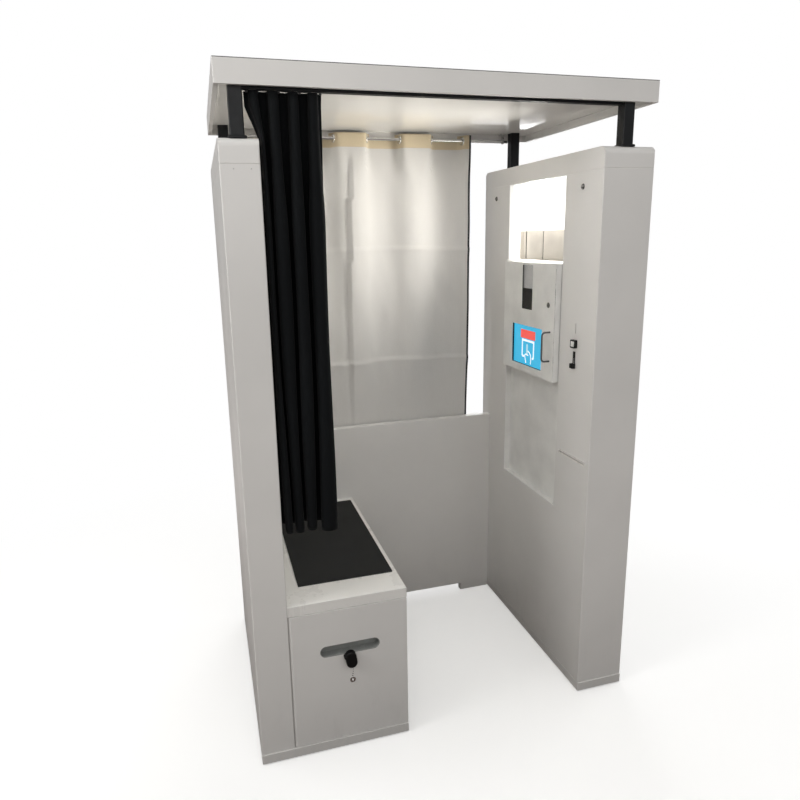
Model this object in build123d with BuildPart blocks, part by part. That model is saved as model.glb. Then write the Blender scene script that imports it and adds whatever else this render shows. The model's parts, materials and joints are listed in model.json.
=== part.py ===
from build123d import *
import os

# Photo booth: two hollow walls, a low back wall and a raised roof around a seat and a screen unit.
#
# Frame: millimetres, +X to the right of a person who faces the open front, +Y into the booth,
# +Z up. The origin is on the floor, under the centre of the whole booth's box.
# Depths are given from the walls' front face, by block() and y_at().

# ---------------------------------------------------------------- driving dimensions
WIDTH = 1250
DEPTH = 810
WALL_HEIGHT = 1800
SEAM_HEIGHT = 1738
ROOF_UNDERSIDE = 1920
TOTAL_HEIGHT = 1980
ROOF_DEPTH = 797
LEFT_WALL = 100
RIGHT_WALL = 170
BOARD = 18
SHEET = 2
LEVER_PROUD = 20
FLOOR_GAP = 4
PLINTH_TOP = 33
SEAT_WIDTH = 365
SEAT_HEIGHT = 510
LID_THICK = 32
BACK_WALL_FACE = 736
BACK_WALL_THICK = 30
BACK_WALL_TOP = 810

RECESS_Y = (200, 594)
RECESS_BOTTOM = 610
RECESS_DEEP = 22
UNIT_Y = (204.5, 582)
UNIT_Z = (1060, 1458)
UNIT_PROUD = 22.5
DIFFUSER_BOTTOM = 1568

POST = 35
POST_WALL = 2.5
POST_FLANGE = 6
FRONT_POST_Y = 32
REAR_POST_Y = 741
RAIL_Z = (1914, 1934)
ROD_Y = 768
ROD_Z = 1916
ROD_R = 6

COIN_Y = 110
PIN_FIT = 0.05
TOUCH_GAP = 0.1
SEAM_CHAMFER = 1.2
EDGE_R = 3
TOP_EDGE_R = 22

# ---------------------------------------------------------------- places worked out from them
LEFT = -WIDTH / 2
RIGHT = WIDTH / 2
LEFT_IN = LEFT + LEFT_WALL
RIGHT_IN = RIGHT - RIGHT_WALL
FRONT = -(DEPTH - LEVER_PROUD) / 2
SEAT_RIGHT = LEFT_IN + SEAT_WIDTH
LID_BOTTOM = SEAT_HEIGHT - LID_THICK
UNIT_FACE = RIGHT_IN - UNIT_PROUD
RECESS_BACK = RIGHT_IN + RECESS_DEEP
BACK_WALL_REAR = BACK_WALL_FACE + BACK_WALL_THICK
HOLLOW = (RIGHT_IN + BOARD, RIGHT - BOARD)
POST_X = (LEFT + LEFT_WALL / 2, RIGHT - RIGHT_WALL / 2)
CEILING_Z = (1944, 1950)


def y_at(depth):
    """The Y of a depth measured from the walls' front face."""
    return FRONT + depth


def middle(span):
    return (span[0] + span[1]) / 2


def length(span):
    return span[1] - span[0]


def about(centre, size):
    """The pair of coordinates of something this size round a centre."""
    return (centre - size / 2, centre + size / 2)


def block(x, y, z, mode=Mode.ADD):
    """A box between pairs of coordinates, y measured from the front face."""
    with Locations((middle(x), y_at(middle(y)), middle(z))):
        Box(length(x), length(y), length(z), mode=mode)


def upright(x, y, z, radius, mode=Mode.ADD):
    """A box whose four vertical edges are rounded."""
    with BuildSketch(Plane.XY.offset(z[0])) as outline:
        with Locations((middle(x), y_at(middle(y)))):
            RectangleRounded(length(x), length(y), radius)
    extrude(outline.sketch, amount=length(z), mode=mode)


def vertical_pin(x, y, z, radius, mode=Mode.ADD):
    """A cylinder along Z."""
    with Locations((x, y_at(y), middle(z))):
        Cylinder(radius, length(z), mode=mode)


def cross_pin(x, y, z, radius, mode=Mode.ADD):
    """A cylinder along X."""
    with Locations(Location((middle(x), y_at(y), z), (0, 90, 0))):
        Cylinder(radius, length(x), mode=mode)


def deep_pin(x, y, z, radius, mode=Mode.ADD):
    """A cylinder along Y."""
    with Locations(Location((x, y_at(middle(y)), z), (90, 0, 0))):
        Cylinder(radius, length(y), mode=mode)


def pill(size, centre, y, mode=Mode.ADD):
    """A slot shape, long way along X, pushed along Y."""
    plane = Plane((centre[0], y_at(y[1]), centre[1]), x_dir=(1, 0, 0), z_dir=(0, -1, 0))
    with BuildSketch(plane) as outline:
        SlotOverall(size[0], size[1])
    extrude(outline.sketch, amount=length(y), mode=mode)


def save(part, name):
    part.label = name
    export_step(part, f"parts/{name}.step")


os.makedirs("parts", exist_ok=True)

# ---------------------------------------------------------------- left wall
LEFT_SPAN = (LEFT, LEFT_IN)
FULL_DEPTH = (0, DEPTH)


def casing(x):
    """The solid outline of a wall between plinth and cap, with a shadow line at both ends."""
    with BuildPart() as outline:
        upright(x, FULL_DEPTH, (PLINTH_TOP, SEAM_HEIGHT), EDGE_R)
        chamfer(outline.faces().filter_by(Axis.Z).edges(), SEAM_CHAMFER)
    add(outline.part)


with BuildPart() as left_wall_shell:
    casing(LEFT_SPAN)
    block(
        (LEFT + BOARD, LEFT_IN - BOARD),
        (BOARD, DEPTH - BOARD),
        (PLINTH_TOP + BOARD, SEAM_HEIGHT),
        Mode.SUBTRACT,
    )
save(left_wall_shell.part, "left_wall_shell")


def wall_cap(x):
    """The closed top of a wall, rounded over at the front and the back."""
    cap_z = (SEAM_HEIGHT, WALL_HEIGHT)
    with BuildPart() as cap:
        upright(x, FULL_DEPTH, cap_z, EDGE_R)
        chamfer(cap.faces().sort_by(Axis.Z)[0].edges(), SEAM_CHAMFER)
        with BuildSketch(Plane.YZ.offset(x[0])) as side:
            with Locations((y_at(middle(FULL_DEPTH)), middle(cap_z))):
                Rectangle(DEPTH, length(cap_z))
            fillet(side.vertices().group_by(Axis.Y)[-1], TOP_EDGE_R)
        extrude(side.sketch, amount=length(x), mode=Mode.INTERSECT)
    return cap.part


save(wall_cap(LEFT_SPAN), "left_wall_cap")

# ---------------------------------------------------------------- plinths and feet
FOOT_R = 18
FOOT_THICK = 8
FOOT_INSET = 45
STEM_R = 5
STEM_TOP = 28
PLINTH_PROUD = 3
SEAT_PIVOT = (LEFT_IN + BOARD / 2 + 1, BOARD / 2)
PIN_R = 4
FOOT_Y = (FOOT_INSET, DEPTH - FOOT_INSET)
LEFT_FEET = [(x, y) for x in (LEFT + FOOT_INSET, SEAT_RIGHT - FOOT_INSET) for y in FOOT_Y]
RIGHT_FEET = [(x, y) for x in (RIGHT_IN + FOOT_INSET, RIGHT - FOOT_INSET) for y in FOOT_Y]


def plinth(x, feet):
    """A base board with a pocket and a stem hole for each levelling foot."""
    with BuildPart() as board:
        upright(x, (-PLINTH_PROUD, DEPTH), (FLOOR_GAP, PLINTH_TOP), EDGE_R)
        for foot_x, foot_y in feet:
            vertical_pin(foot_x, foot_y, (FLOOR_GAP, FOOT_THICK + 1), FOOT_R + 1, Mode.SUBTRACT)
            vertical_pin(foot_x, foot_y, (FLOOR_GAP, STEM_TOP + 1), STEM_R + PIN_FIT, Mode.SUBTRACT)
    return board


with BuildPart() as left_plinth:
    add(plinth((LEFT, SEAT_RIGHT), LEFT_FEET).part)
    vertical_pin(*SEAT_PIVOT, (PLINTH_TOP - 8, PLINTH_TOP), PIN_R + PIN_FIT, Mode.SUBTRACT)
save(left_plinth.part, "left_plinth")
save(plinth((RIGHT_IN, RIGHT), RIGHT_FEET).part, "right_plinth")

with BuildPart() as levelling_feet:
    for foot_x, foot_y in LEFT_FEET + RIGHT_FEET:
        vertical_pin(foot_x, foot_y, (0, FOOT_THICK), FOOT_R)
        vertical_pin(foot_x, foot_y, (FOOT_THICK, STEM_TOP), STEM_R)
save(levelling_feet.part, "levelling_feet")

# ---------------------------------------------------------------- right wall
SERVICE_Y = (90, 720)
SERVICE_Z = (100, 1600)
SERVICE_GAP = 1.5
SERVICE_PIVOT = (RIGHT - BOARD / 2, SERVICE_Y[1] - SERVICE_GAP - BOARD / 2)
SHELF_X = (RECESS_BACK + SHEET + 1, HOLLOW[1])
SHELF_Z = (700, 712)
COIN_SHELF_Z = (910, 922)
COIN_SHELF_Y = (BOARD, RECESS_Y[0] - 1)
COIN_SLOT_Z = (1239, 1273)
COIN_SLOT_WIDE = 3.5
BUTTON_Z = 1207
BUTTON_SIZE = 17
BUTTON_HOLE = 18
RETURN_Z = (1131, 1182)
RETURN_HOLE = (7, 24)
RETURN_SILL = 6
PHOTO_SLOT_Y = (27, 175)
PHOTO_SLOT_Z = (822.5, 827.5)
BOLT_Z = 1694
BOLT_Y = (105, 706)
BOLT_SHANK_R = 3
INLET_X = (515, 565)
INLET_Z = (130, 166)
PIN_REACH = 10
INNER_BOARD = (RIGHT_IN, HOLLOW[0])
RETURN_WAY_Y = about(COIN_Y, RETURN_HOLE[0])
RETURN_WAY_Z = (RETURN_Z[0] + RETURN_SILL, RETURN_Z[0] + RETURN_SILL + RETURN_HOLE[1])
OUTER_BOARD = (HOLLOW[1], RIGHT)

with BuildPart() as right_wall_shell:
    casing((RIGHT_IN, RIGHT))
    block(HOLLOW, (BOARD, DEPTH - BOARD), (PLINTH_TOP + BOARD, SEAM_HEIGHT), Mode.SUBTRACT)
    block(SHELF_X, (BOARD, DEPTH - BOARD), SHELF_Z)
    block(HOLLOW, COIN_SHELF_Y, COIN_SHELF_Z)
    block(INNER_BOARD, RECESS_Y, (RECESS_BOTTOM, SEAM_HEIGHT), Mode.SUBTRACT)
    block(OUTER_BOARD, SERVICE_Y, SERVICE_Z, Mode.SUBTRACT)
    block(INNER_BOARD, about(COIN_Y, COIN_SLOT_WIDE), COIN_SLOT_Z, Mode.SUBTRACT)
    block(INNER_BOARD, about(COIN_Y, BUTTON_HOLE), about(BUTTON_Z, BUTTON_HOLE), Mode.SUBTRACT)
    block(INNER_BOARD, RETURN_WAY_Y, RETURN_WAY_Z, Mode.SUBTRACT)
    block(INNER_BOARD, PHOTO_SLOT_Y, PHOTO_SLOT_Z, Mode.SUBTRACT)
    for bolt_y in BOLT_Y:
        cross_pin(INNER_BOARD, bolt_y, BOLT_Z, BOLT_SHANK_R + PIN_FIT, Mode.SUBTRACT)
    block(INLET_X, (DEPTH - BOARD, DEPTH), INLET_Z, Mode.SUBTRACT)
    for z in ((SERVICE_Z[0] - PIN_REACH, SERVICE_Z[0]), (SERVICE_Z[1], SERVICE_Z[1] + PIN_REACH)):
        vertical_pin(*SERVICE_PIVOT, z, PIN_R + PIN_FIT, Mode.SUBTRACT)
save(right_wall_shell.part, "right_wall_shell")

save(wall_cap((RIGHT_IN, RIGHT)), "right_wall_cap")

# ---------------------------------------------------------------- back wall
FOOT_BLOCK_X = (325, RIGHT_IN)

with BuildPart() as back_wall_panel:
    block((LEFT_IN, RIGHT_IN), (BACK_WALL_FACE, BACK_WALL_REAR), (PLINTH_TOP, BACK_WALL_TOP))
    fillet(back_wall_panel.edges().group_by(Axis.Z)[-1].filter_by(Axis.X), 3)
save(back_wall_panel.part, "back_wall_panel")

with BuildPart() as back_wall_foot:
    block(FOOT_BLOCK_X, (BACK_WALL_FACE + 2, BACK_WALL_REAR - 2), (0, PLINTH_TOP))
    fillet(back_wall_foot.edges().filter_by(Axis.Z), 2)
save(back_wall_foot.part, "back_wall_foot")

# ---------------------------------------------------------------- roof
FASCIA = 12
TOP_SHEET = 2
ROOF_SPAN = (LEFT, RIGHT)
INSIDE_X = (LEFT + FASCIA, RIGHT - FASCIA)
INSIDE_Y = (FASCIA, ROOF_DEPTH - FASCIA)

with BuildPart() as roof_fascia:
    block(ROOF_SPAN, (0, ROOF_DEPTH), (ROOF_UNDERSIDE, TOTAL_HEIGHT - TOP_SHEET))
    fillet(roof_fascia.edges().filter_by(Axis.Z), 3)
    block(INSIDE_X, INSIDE_Y, (ROOF_UNDERSIDE, TOTAL_HEIGHT - TOP_SHEET), Mode.SUBTRACT)
save(roof_fascia.part, "roof_fascia")

with BuildPart() as roof_top_sheet:
    upright(ROOF_SPAN, (0, ROOF_DEPTH), (TOTAL_HEIGHT - TOP_SHEET, TOTAL_HEIGHT), 3)
save(roof_top_sheet.part, "roof_top_sheet")

with BuildPart() as ceiling_panel:
    block(INSIDE_X, INSIDE_Y, CEILING_Z)
save(ceiling_panel.part, "ceiling_panel")

# ---------------------------------------------------------------- roof posts
POST_SPOTS = [(x, y_at(y)) for x in POST_X for y in (FRONT_POST_Y, REAR_POST_Y)]
FLANGE = 46

with BuildPart() as roof_posts:
    with BuildSketch(Plane.XY.offset(WALL_HEIGHT + POST_FLANGE)):
        with Locations(*POST_SPOTS):
            RectangleRounded(POST, POST, 3)
            Rectangle(POST - 2 * POST_WALL, POST - 2 * POST_WALL, mode=Mode.SUBTRACT)
    extrude(amount=CEILING_Z[0] - WALL_HEIGHT - POST_FLANGE)
save(roof_posts.part, "roof_posts")

with BuildPart() as post_flanges:
    with BuildSketch(Plane.XY.offset(WALL_HEIGHT)):
        with Locations(*POST_SPOTS):
            RectangleRounded(FLANGE, FLANGE, 5)
    extrude(amount=POST_FLANGE)
    chamfer(post_flanges.faces().group_by(Axis.Z)[-1].edges(), 2)
save(post_flanges.part, "post_flanges")

# ---------------------------------------------------------------- curtain rail and rod
RAIL = 20
RAIL_WALL = 3
RAIL_SLIT = 6
RAIL_X = (POST_X[0] + POST / 2, POST_X[1] - POST / 2)
RUNNER_COUNT = 8
RUNNER_X = (-546, -362)
RUNNER = (11, 9)
RUNNER_LONG = 14
RUNNER_NECK = 3
RUNNER_Z = RAIL_Z[0] + RAIL_WALL + 1
HOOK_BOTTOM = RAIL_Z[0] - 6

with BuildPart() as front_curtain_rail:
    rail_end = (RAIL_X[0], y_at(FRONT_POST_Y), middle(RAIL_Z))
    with BuildSketch(Plane(rail_end, x_dir=(0, 1, 0), z_dir=(1, 0, 0))):
        RectangleRounded(RAIL, RAIL, 2)
        Rectangle(RAIL - 2 * RAIL_WALL, RAIL - 2 * RAIL_WALL, mode=Mode.SUBTRACT)
        with Locations((0, -RAIL / 2 + RAIL_WALL / 2)):
            Rectangle(RAIL_SLIT, RAIL_WALL, mode=Mode.SUBTRACT)
    extrude(amount=length(RAIL_X))
save(front_curtain_rail.part, "front_curtain_rail")

with BuildPart() as front_runners:
    runner_step = length(RUNNER_X) / (RUNNER_COUNT - 1)
    for i in range(RUNNER_COUNT):
        x = RUNNER_X[0] + i * runner_step
        block(about(x, RUNNER_LONG), about(FRONT_POST_Y, RUNNER[0]), (RUNNER_Z, RUNNER_Z + RUNNER[1]))
        block(about(x, 2 * RUNNER_NECK), about(FRONT_POST_Y, RUNNER_NECK), (HOOK_BOTTOM, RUNNER_Z))
save(front_runners.part, "front_runners")

ROD_X = (-560, 525)
BRACKET_X = (-540, 505)
BRACKET_THICK = 6
BRACKET_R = 9
BRACKET_ARM = 12
BRACKET_FOOT = (28, 24, 3)

with BuildPart() as rear_curtain_rod:
    cross_pin(ROD_X, ROD_Y, ROD_Z, ROD_R)
save(rear_curtain_rod.part, "rear_curtain_rod")

with BuildPart() as rear_rod_brackets:
    for x in BRACKET_X:
        along = about(x, BRACKET_THICK)
        cross_pin(along, ROD_Y, ROD_Z, BRACKET_R)
        block(along, about(ROD_Y, BRACKET_ARM), (ROD_Z, CEILING_Z[0] - BRACKET_FOOT[2]))
        block(
            about(x, BRACKET_FOOT[0]),
            about(ROD_Y, BRACKET_FOOT[1]),
            (CEILING_Z[0] - BRACKET_FOOT[2], CEILING_Z[0]),
        )
        cross_pin(along, ROD_Y, ROD_Z, ROD_R + PIN_FIT, Mode.SUBTRACT)
save(rear_rod_brackets.part, "rear_rod_brackets")

# ---------------------------------------------------------------- curtains
FRONT_CURTAIN_X = (LEFT_IN + 7, -353)
FRONT_CURTAIN_Y = (0, 90)
FRONT_CURTAIN_Z = (735, HOOK_BOTTOM - 2)
REAR_CURTAIN_X = (LEFT_IN + 12, 362)
REAR_CURTAIN_Y = (BACK_WALL_REAR + 1, BACK_WALL_REAR + 13)
EYELET_R = 16
EYELET_BORE_R = 9
EYELET_THICK = 3
EYELET_COUNT = 7
EYELET_PITCH = 128
EYELET_INSET = 30
REAR_CURTAIN_Z = (700, ROD_Z - EYELET_R - 1)

with BuildPart() as front_curtain:
    upright(FRONT_CURTAIN_X, FRONT_CURTAIN_Y, FRONT_CURTAIN_Z, 20)
save(front_curtain.part, "front_curtain")

with BuildPart() as rear_curtain:
    block(REAR_CURTAIN_X, REAR_CURTAIN_Y, REAR_CURTAIN_Z)
save(rear_curtain.part, "rear_curtain")

with BuildPart() as rear_eyelets:
    for i in range(EYELET_COUNT):
        x = REAR_CURTAIN_X[1] - EYELET_INSET - i * EYELET_PITCH
        along = about(x, EYELET_THICK)
        cross_pin(along, ROD_Y, ROD_Z, EYELET_R)
        cross_pin(along, ROD_Y, ROD_Z, EYELET_BORE_R, Mode.SUBTRACT)
save(rear_eyelets.part, "rear_eyelets")

# ---------------------------------------------------------------- seat
CARCASS_FRONT = BOARD + 1
SEAT_X = (LEFT_IN, SEAT_RIGHT)
KEEPER_X = (-400, -366)
KEEPER_Y = (CARCASS_FRONT, CARCASS_FRONT + 3.4)
KEEPER_TOP = 316
KEEPER_WEB = (12, 60)
CARCASS_SIDE = 12
LID_SETBACK = 3
LID_PIN_DEEP = 9
LID_EDGE_R = 2.5
MAT_X = (-477, -174)
MAT_Y = (106, 706)
MAT_THICK = 3
SEAT_PIN_LOW = (PLINTH_TOP - 7, PLINTH_TOP + 27)
SEAT_PIN_HIGH = (LID_BOTTOM - 26, LID_BOTTOM + 8)

with BuildPart() as seat_carcass:
    block(SEAT_X, (CARCASS_FRONT, BACK_WALL_FACE), (PLINTH_TOP, LID_BOTTOM))
    block(
        (LEFT_IN + CARCASS_SIDE, SEAT_RIGHT - BOARD),
        (CARCASS_FRONT, BACK_WALL_FACE - BOARD),
        (PLINTH_TOP + BOARD, LID_BOTTOM),
        Mode.SUBTRACT,
    )
    block(KEEPER_X, KEEPER_Y, (PLINTH_TOP + BOARD, KEEPER_TOP))
    block(
        (KEEPER_X[0], KEEPER_X[0] + KEEPER_WEB[0]),
        (KEEPER_Y[1], KEEPER_WEB[1]),
        (PLINTH_TOP + BOARD, KEEPER_TOP),
    )
save(seat_carcass.part, "seat_carcass")

with BuildPart() as seat_lid:
    block(SEAT_X, (LID_SETBACK, BACK_WALL_FACE), (LID_BOTTOM, SEAT_HEIGHT))
    top_edges = seat_lid.faces().sort_by(Axis.Z)[-1].edges()
    front_edge = top_edges.filter_by(Axis.X).sort_by(Axis.Y)[0:1]
    right_edge = top_edges.filter_by(Axis.Y).sort_by(Axis.X)[-1:]
    fillet(front_edge + right_edge, LID_EDGE_R)
    vertical_pin(*SEAT_PIVOT, (LID_BOTTOM, LID_BOTTOM + LID_PIN_DEEP), PIN_R + PIN_FIT, Mode.SUBTRACT)
save(seat_lid.part, "seat_lid")

with BuildPart() as seat_mat:
    upright(MAT_X, MAT_Y, (SEAT_HEIGHT, SEAT_HEIGHT + MAT_THICK), EDGE_R)
save(seat_mat.part, "seat_mat")

# ---------------------------------------------------------------- seat door
DOOR_SPAN = (LEFT_IN + 1, SEAT_RIGHT - 1)
DOOR_Z = (PLINTH_TOP + 2, LID_BOTTOM - 2)
CUP = (185, 37)
CUP_AT = (-342, 343)
CUP_DEEP = 30
CUP_WALL = 1.5
LEVER_AT = (-344, 304)
SPINDLE_R = 6
SEAT_LOCK_AT = (-337.5, 232)
LOCK_R = 7
LOCK_FLANGE_R = 9
LOCK_FLANGE_THICK = 1.5
KEYWAY = (2, 4, 8)
TONGUE_Y = (KEEPER_Y[1] + 0.6, KEEPER_Y[1] + 3.6)
TONGUE_LONG = 32
TONGUE_WIDE = 13


def pivot_panel(x, y, z, pivot, radius):
    """A door panel whose hinge edge is a full round about the pivot."""
    with BuildPart() as panel:
        block(x, y, z)
        vertical_pin(*pivot, z, radius)
    return panel.part


with BuildPart() as seat_door:
    add(pivot_panel((SEAT_PIVOT[0], DOOR_SPAN[1]), (0, BOARD), DOOR_Z, SEAT_PIVOT, BOARD / 2))
    pill((CUP[0] + 2 * TOUCH_GAP, CUP[1] + 2 * TOUCH_GAP), CUP_AT, (0, BOARD), Mode.SUBTRACT)
    deep_pin(LEVER_AT[0], (0, BOARD), LEVER_AT[1], SPINDLE_R + PIN_FIT, Mode.SUBTRACT)
    deep_pin(SEAT_LOCK_AT[0], (0, BOARD), SEAT_LOCK_AT[1], LOCK_R + PIN_FIT, Mode.SUBTRACT)
    vertical_pin(*SEAT_PIVOT, (DOOR_Z[0], SEAT_PIN_LOW[1] + 1), PIN_R + PIN_FIT, Mode.SUBTRACT)
    vertical_pin(*SEAT_PIVOT, (SEAT_PIN_HIGH[0] - 1, DOOR_Z[1]), PIN_R + PIN_FIT, Mode.SUBTRACT)
save(seat_door.part, "seat_door")

with BuildPart() as seat_pull_cup:
    pill(CUP, CUP_AT, (0, CUP_DEEP))
    hollow = (CUP[0] - 2 * CUP_WALL, CUP[1] - 2 * CUP_WALL)
    pill(hollow, CUP_AT, (0, CUP_DEEP - CUP_WALL), Mode.SUBTRACT)
save(seat_pull_cup.part, "seat_pull_cup")

LEVER_STANDOFF = 3
LEVER_KNOB_R = 17
LEVER_KNOB_AT = ((0, 17), (3, -3))
LEVER_NUB_R = 5.5
LEVER_NUB_AT = (-15, 17)
LEVER_ROUND = 5

with BuildPart() as seat_latch_lever:
    lever_origin = (LEVER_AT[0], y_at(-LEVER_STANDOFF), LEVER_AT[1])
    with BuildSketch(Plane(lever_origin, x_dir=(1, 0, 0), z_dir=(0, -1, 0))):
        with Locations(*LEVER_KNOB_AT):
            Circle(LEVER_KNOB_R)
        make_hull()
        with Locations(LEVER_NUB_AT):
            Circle(LEVER_NUB_R)
    extrude(amount=LEVER_PROUD - LEVER_STANDOFF)
    fillet(seat_latch_lever.faces().sort_by(Axis.Y)[0].edges(), LEVER_ROUND)
    deep_pin(LEVER_AT[0], (-LEVER_STANDOFF, TONGUE_Y[1]), LEVER_AT[1], SPINDLE_R)
    block(about(LEVER_AT[0], TONGUE_WIDE), TONGUE_Y, (LEVER_AT[1] - TONGUE_LONG, LEVER_AT[1]))
save(seat_latch_lever.part, "seat_latch_lever")

with BuildPart() as seat_cam_lock:
    deep_pin(SEAT_LOCK_AT[0], (-LOCK_FLANGE_THICK, -TOUCH_GAP), SEAT_LOCK_AT[1], LOCK_FLANGE_R)
    deep_pin(SEAT_LOCK_AT[0], (-TOUCH_GAP, TONGUE_Y[1]), SEAT_LOCK_AT[1], LOCK_R)
    block(
        about(SEAT_LOCK_AT[0], KEYWAY[0]),
        (-LOCK_FLANGE_THICK, KEYWAY[1]),
        about(SEAT_LOCK_AT[1], KEYWAY[2]),
        Mode.SUBTRACT,
    )
    block(
        about(SEAT_LOCK_AT[0], 2 * LOCK_R),
        TONGUE_Y,
        (SEAT_LOCK_AT[1] - TONGUE_LONG, SEAT_LOCK_AT[1]),
    )
save(seat_cam_lock.part, "seat_cam_lock")

# ---------------------------------------------------------------- recess, lights and camera bay
BAY_X = (RECESS_BACK + SHEET, 592)
BAY_Y = (212, 582)
BAY_Z = (1078, 1734)
LIGHT_BACK = 514
LIGHT_FLOOR = 1463
DIFFUSER_X = (RECESS_BACK - 5, RECESS_BACK - 2)
DIFFUSER_SIDE_Y = 540
LINED_Y = (RECESS_Y[0] + SHEET, RECESS_Y[1] - SHEET)
LINED_Z = (RECESS_BOTTOM + SHEET, SEAM_HEIGHT - SHEET)
INNER_BAY_X = (BAY_X[0], BAY_X[1] - SHEET)
INNER_BAY_Y = (BAY_Y[0] + SHEET, BAY_Y[1] - SHEET)
INNER_BAY_Z = (BAY_Z[0] + SHEET, BAY_Z[1] - SHEET)

with BuildPart() as recess_liner:
    block((RIGHT_IN, RECESS_BACK + SHEET), RECESS_Y, (RECESS_BOTTOM, SEAM_HEIGHT))
    block((RIGHT_IN, RECESS_BACK), LINED_Y, LINED_Z, Mode.SUBTRACT)
    block((RECESS_BACK, RECESS_BACK + SHEET), INNER_BAY_Y, INNER_BAY_Z, Mode.SUBTRACT)
save(recess_liner.part, "recess_liner")

with BuildPart() as light_diffuser:
    block(DIFFUSER_X, LINED_Y, (DIFFUSER_BOTTOM, LINED_Z[1]))
    block(DIFFUSER_X, (DIFFUSER_SIDE_Y, LINED_Y[1]), (UNIT_Z[1] + 2, DIFFUSER_BOTTOM))
save(light_diffuser.part, "light_diffuser")

with BuildPart() as camera_bay:
    block(BAY_X, BAY_Y, BAY_Z)
    block(INNER_BAY_X, INNER_BAY_Y, INNER_BAY_Z, Mode.SUBTRACT)
    block((LIGHT_BACK, LIGHT_BACK + SHEET), INNER_BAY_Y, (LIGHT_FLOOR, INNER_BAY_Z[1]))
    block(INNER_BAY_X, INNER_BAY_Y, (LIGHT_FLOOR, LIGHT_FLOOR + SHEET))
save(camera_bay.part, "camera_bay")

LED_ROWS = (1600, 1650, 1700)
LED_Y = (230, 564)
LED_STRIP = 16
LED_LAMPS = 12
LED_LAMP = 6
LED_BOARD_X = (LIGHT_BACK - 5, LIGHT_BACK)
LED_LAMP_X = (LED_BOARD_X[0] - 2, LED_BOARD_X[0])

with BuildPart() as led_strips:
    lamp_step = length(LED_Y) / LED_LAMPS
    for z in LED_ROWS:
        block(LED_BOARD_X, LED_Y, about(z, LED_STRIP))
        for lamp in range(LED_LAMPS):
            lamp_y = LED_Y[0] + (lamp + 0.5) * lamp_step
            block(LED_LAMP_X, about(lamp_y, LED_LAMP), about(z, LED_LAMP))
    # One upright strip joins the rows into one wired panel.
    block(LED_BOARD_X, (LED_Y[1] - LED_STRIP, LED_Y[1]), (LED_ROWS[0], LED_ROWS[-1]))
save(led_strips.part, "led_strips")

# ---------------------------------------------------------------- camera and its lift
CAMERA_Y = 395.5
CAMERA_Z = 1332
ROD_SPREAD = 55
LIFT_X = 575
GUIDE_R = 5
SCREW_R = 4
MOTOR_TOP = 1105
MOTOR_X = (555, 589)
MOTOR_WIDE = 34
SCREW_END_GAP = (0.3, 0.5)
CAMERA_X = (496, 560)
CAMERA_WIDE = 68
CAMERA_HIGH = 52
CAMERA_ROUND = 5
PLATE_X = (566, 584)
PLATE_WIDE = 136
PLATE_HIGH = 30
PLATE_ROUND = 3
ARM_WIDE = 60
ARM_Z = (CAMERA_Z - 22, CAMERA_Z + 23)
LIFT_RODS_Y = about(CAMERA_Y, 2 * ROD_SPREAD)

with BuildPart() as camera_guide_rods:
    for y in LIFT_RODS_Y:
        vertical_pin(LIFT_X, y, (INNER_BAY_Z[0], LIGHT_FLOOR), GUIDE_R)
save(camera_guide_rods.part, "camera_guide_rods")

with BuildPart() as camera_lift_motor:
    upright(MOTOR_X, about(CAMERA_Y, MOTOR_WIDE), (INNER_BAY_Z[0], MOTOR_TOP), EDGE_R)
save(camera_lift_motor.part, "camera_lift_motor")

with BuildPart() as camera_lead_screw:
    screw_z = (MOTOR_TOP + SCREW_END_GAP[0], LIGHT_FLOOR - SCREW_END_GAP[1])
    vertical_pin(LIFT_X, CAMERA_Y, screw_z, SCREW_R)
save(camera_lead_screw.part, "camera_lead_screw")

with BuildPart() as camera_carriage:
    block(PLATE_X, about(CAMERA_Y, PLATE_WIDE), about(CAMERA_Z, PLATE_HIGH))
    fillet(camera_carriage.edges().filter_by(Axis.Z), PLATE_ROUND)
    block((CAMERA_X[1], PLATE_X[0]), about(CAMERA_Y, ARM_WIDE), ARM_Z)
    for y in LIFT_RODS_Y:
        vertical_pin(LIFT_X, y, about(CAMERA_Z, PLATE_HIGH), GUIDE_R + PIN_FIT, Mode.SUBTRACT)
    vertical_pin(LIFT_X, CAMERA_Y, ARM_Z, SCREW_R + PIN_FIT, Mode.SUBTRACT)
save(camera_carriage.part, "camera_carriage")

with BuildPart() as camera_body:
    block(CAMERA_X, about(CAMERA_Y, CAMERA_WIDE), about(CAMERA_Z, CAMERA_HIGH))
    fillet(camera_body.edges().filter_by(Axis.X), CAMERA_ROUND)
save(camera_body.part, "camera_body")

# Each ring of the lens barrel: from X, to X, radius.
LENS_STEPS = ((484, 496, 24), (476, 484, 21.5), (470, 476, 23))
LENS_HOOD_DEEP = 4
LENS_HOOD_R = 17

with BuildPart() as camera_lens:
    for near, far, radius in LENS_STEPS:
        cross_pin((near, far), CAMERA_Y, CAMERA_Z, radius)
    hood_x = LENS_STEPS[-1][0]
    cross_pin((hood_x, hood_x + LENS_HOOD_DEEP), CAMERA_Y, CAMERA_Z, LENS_HOOD_R, Mode.SUBTRACT)
save(camera_lens.part, "camera_lens")

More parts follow.
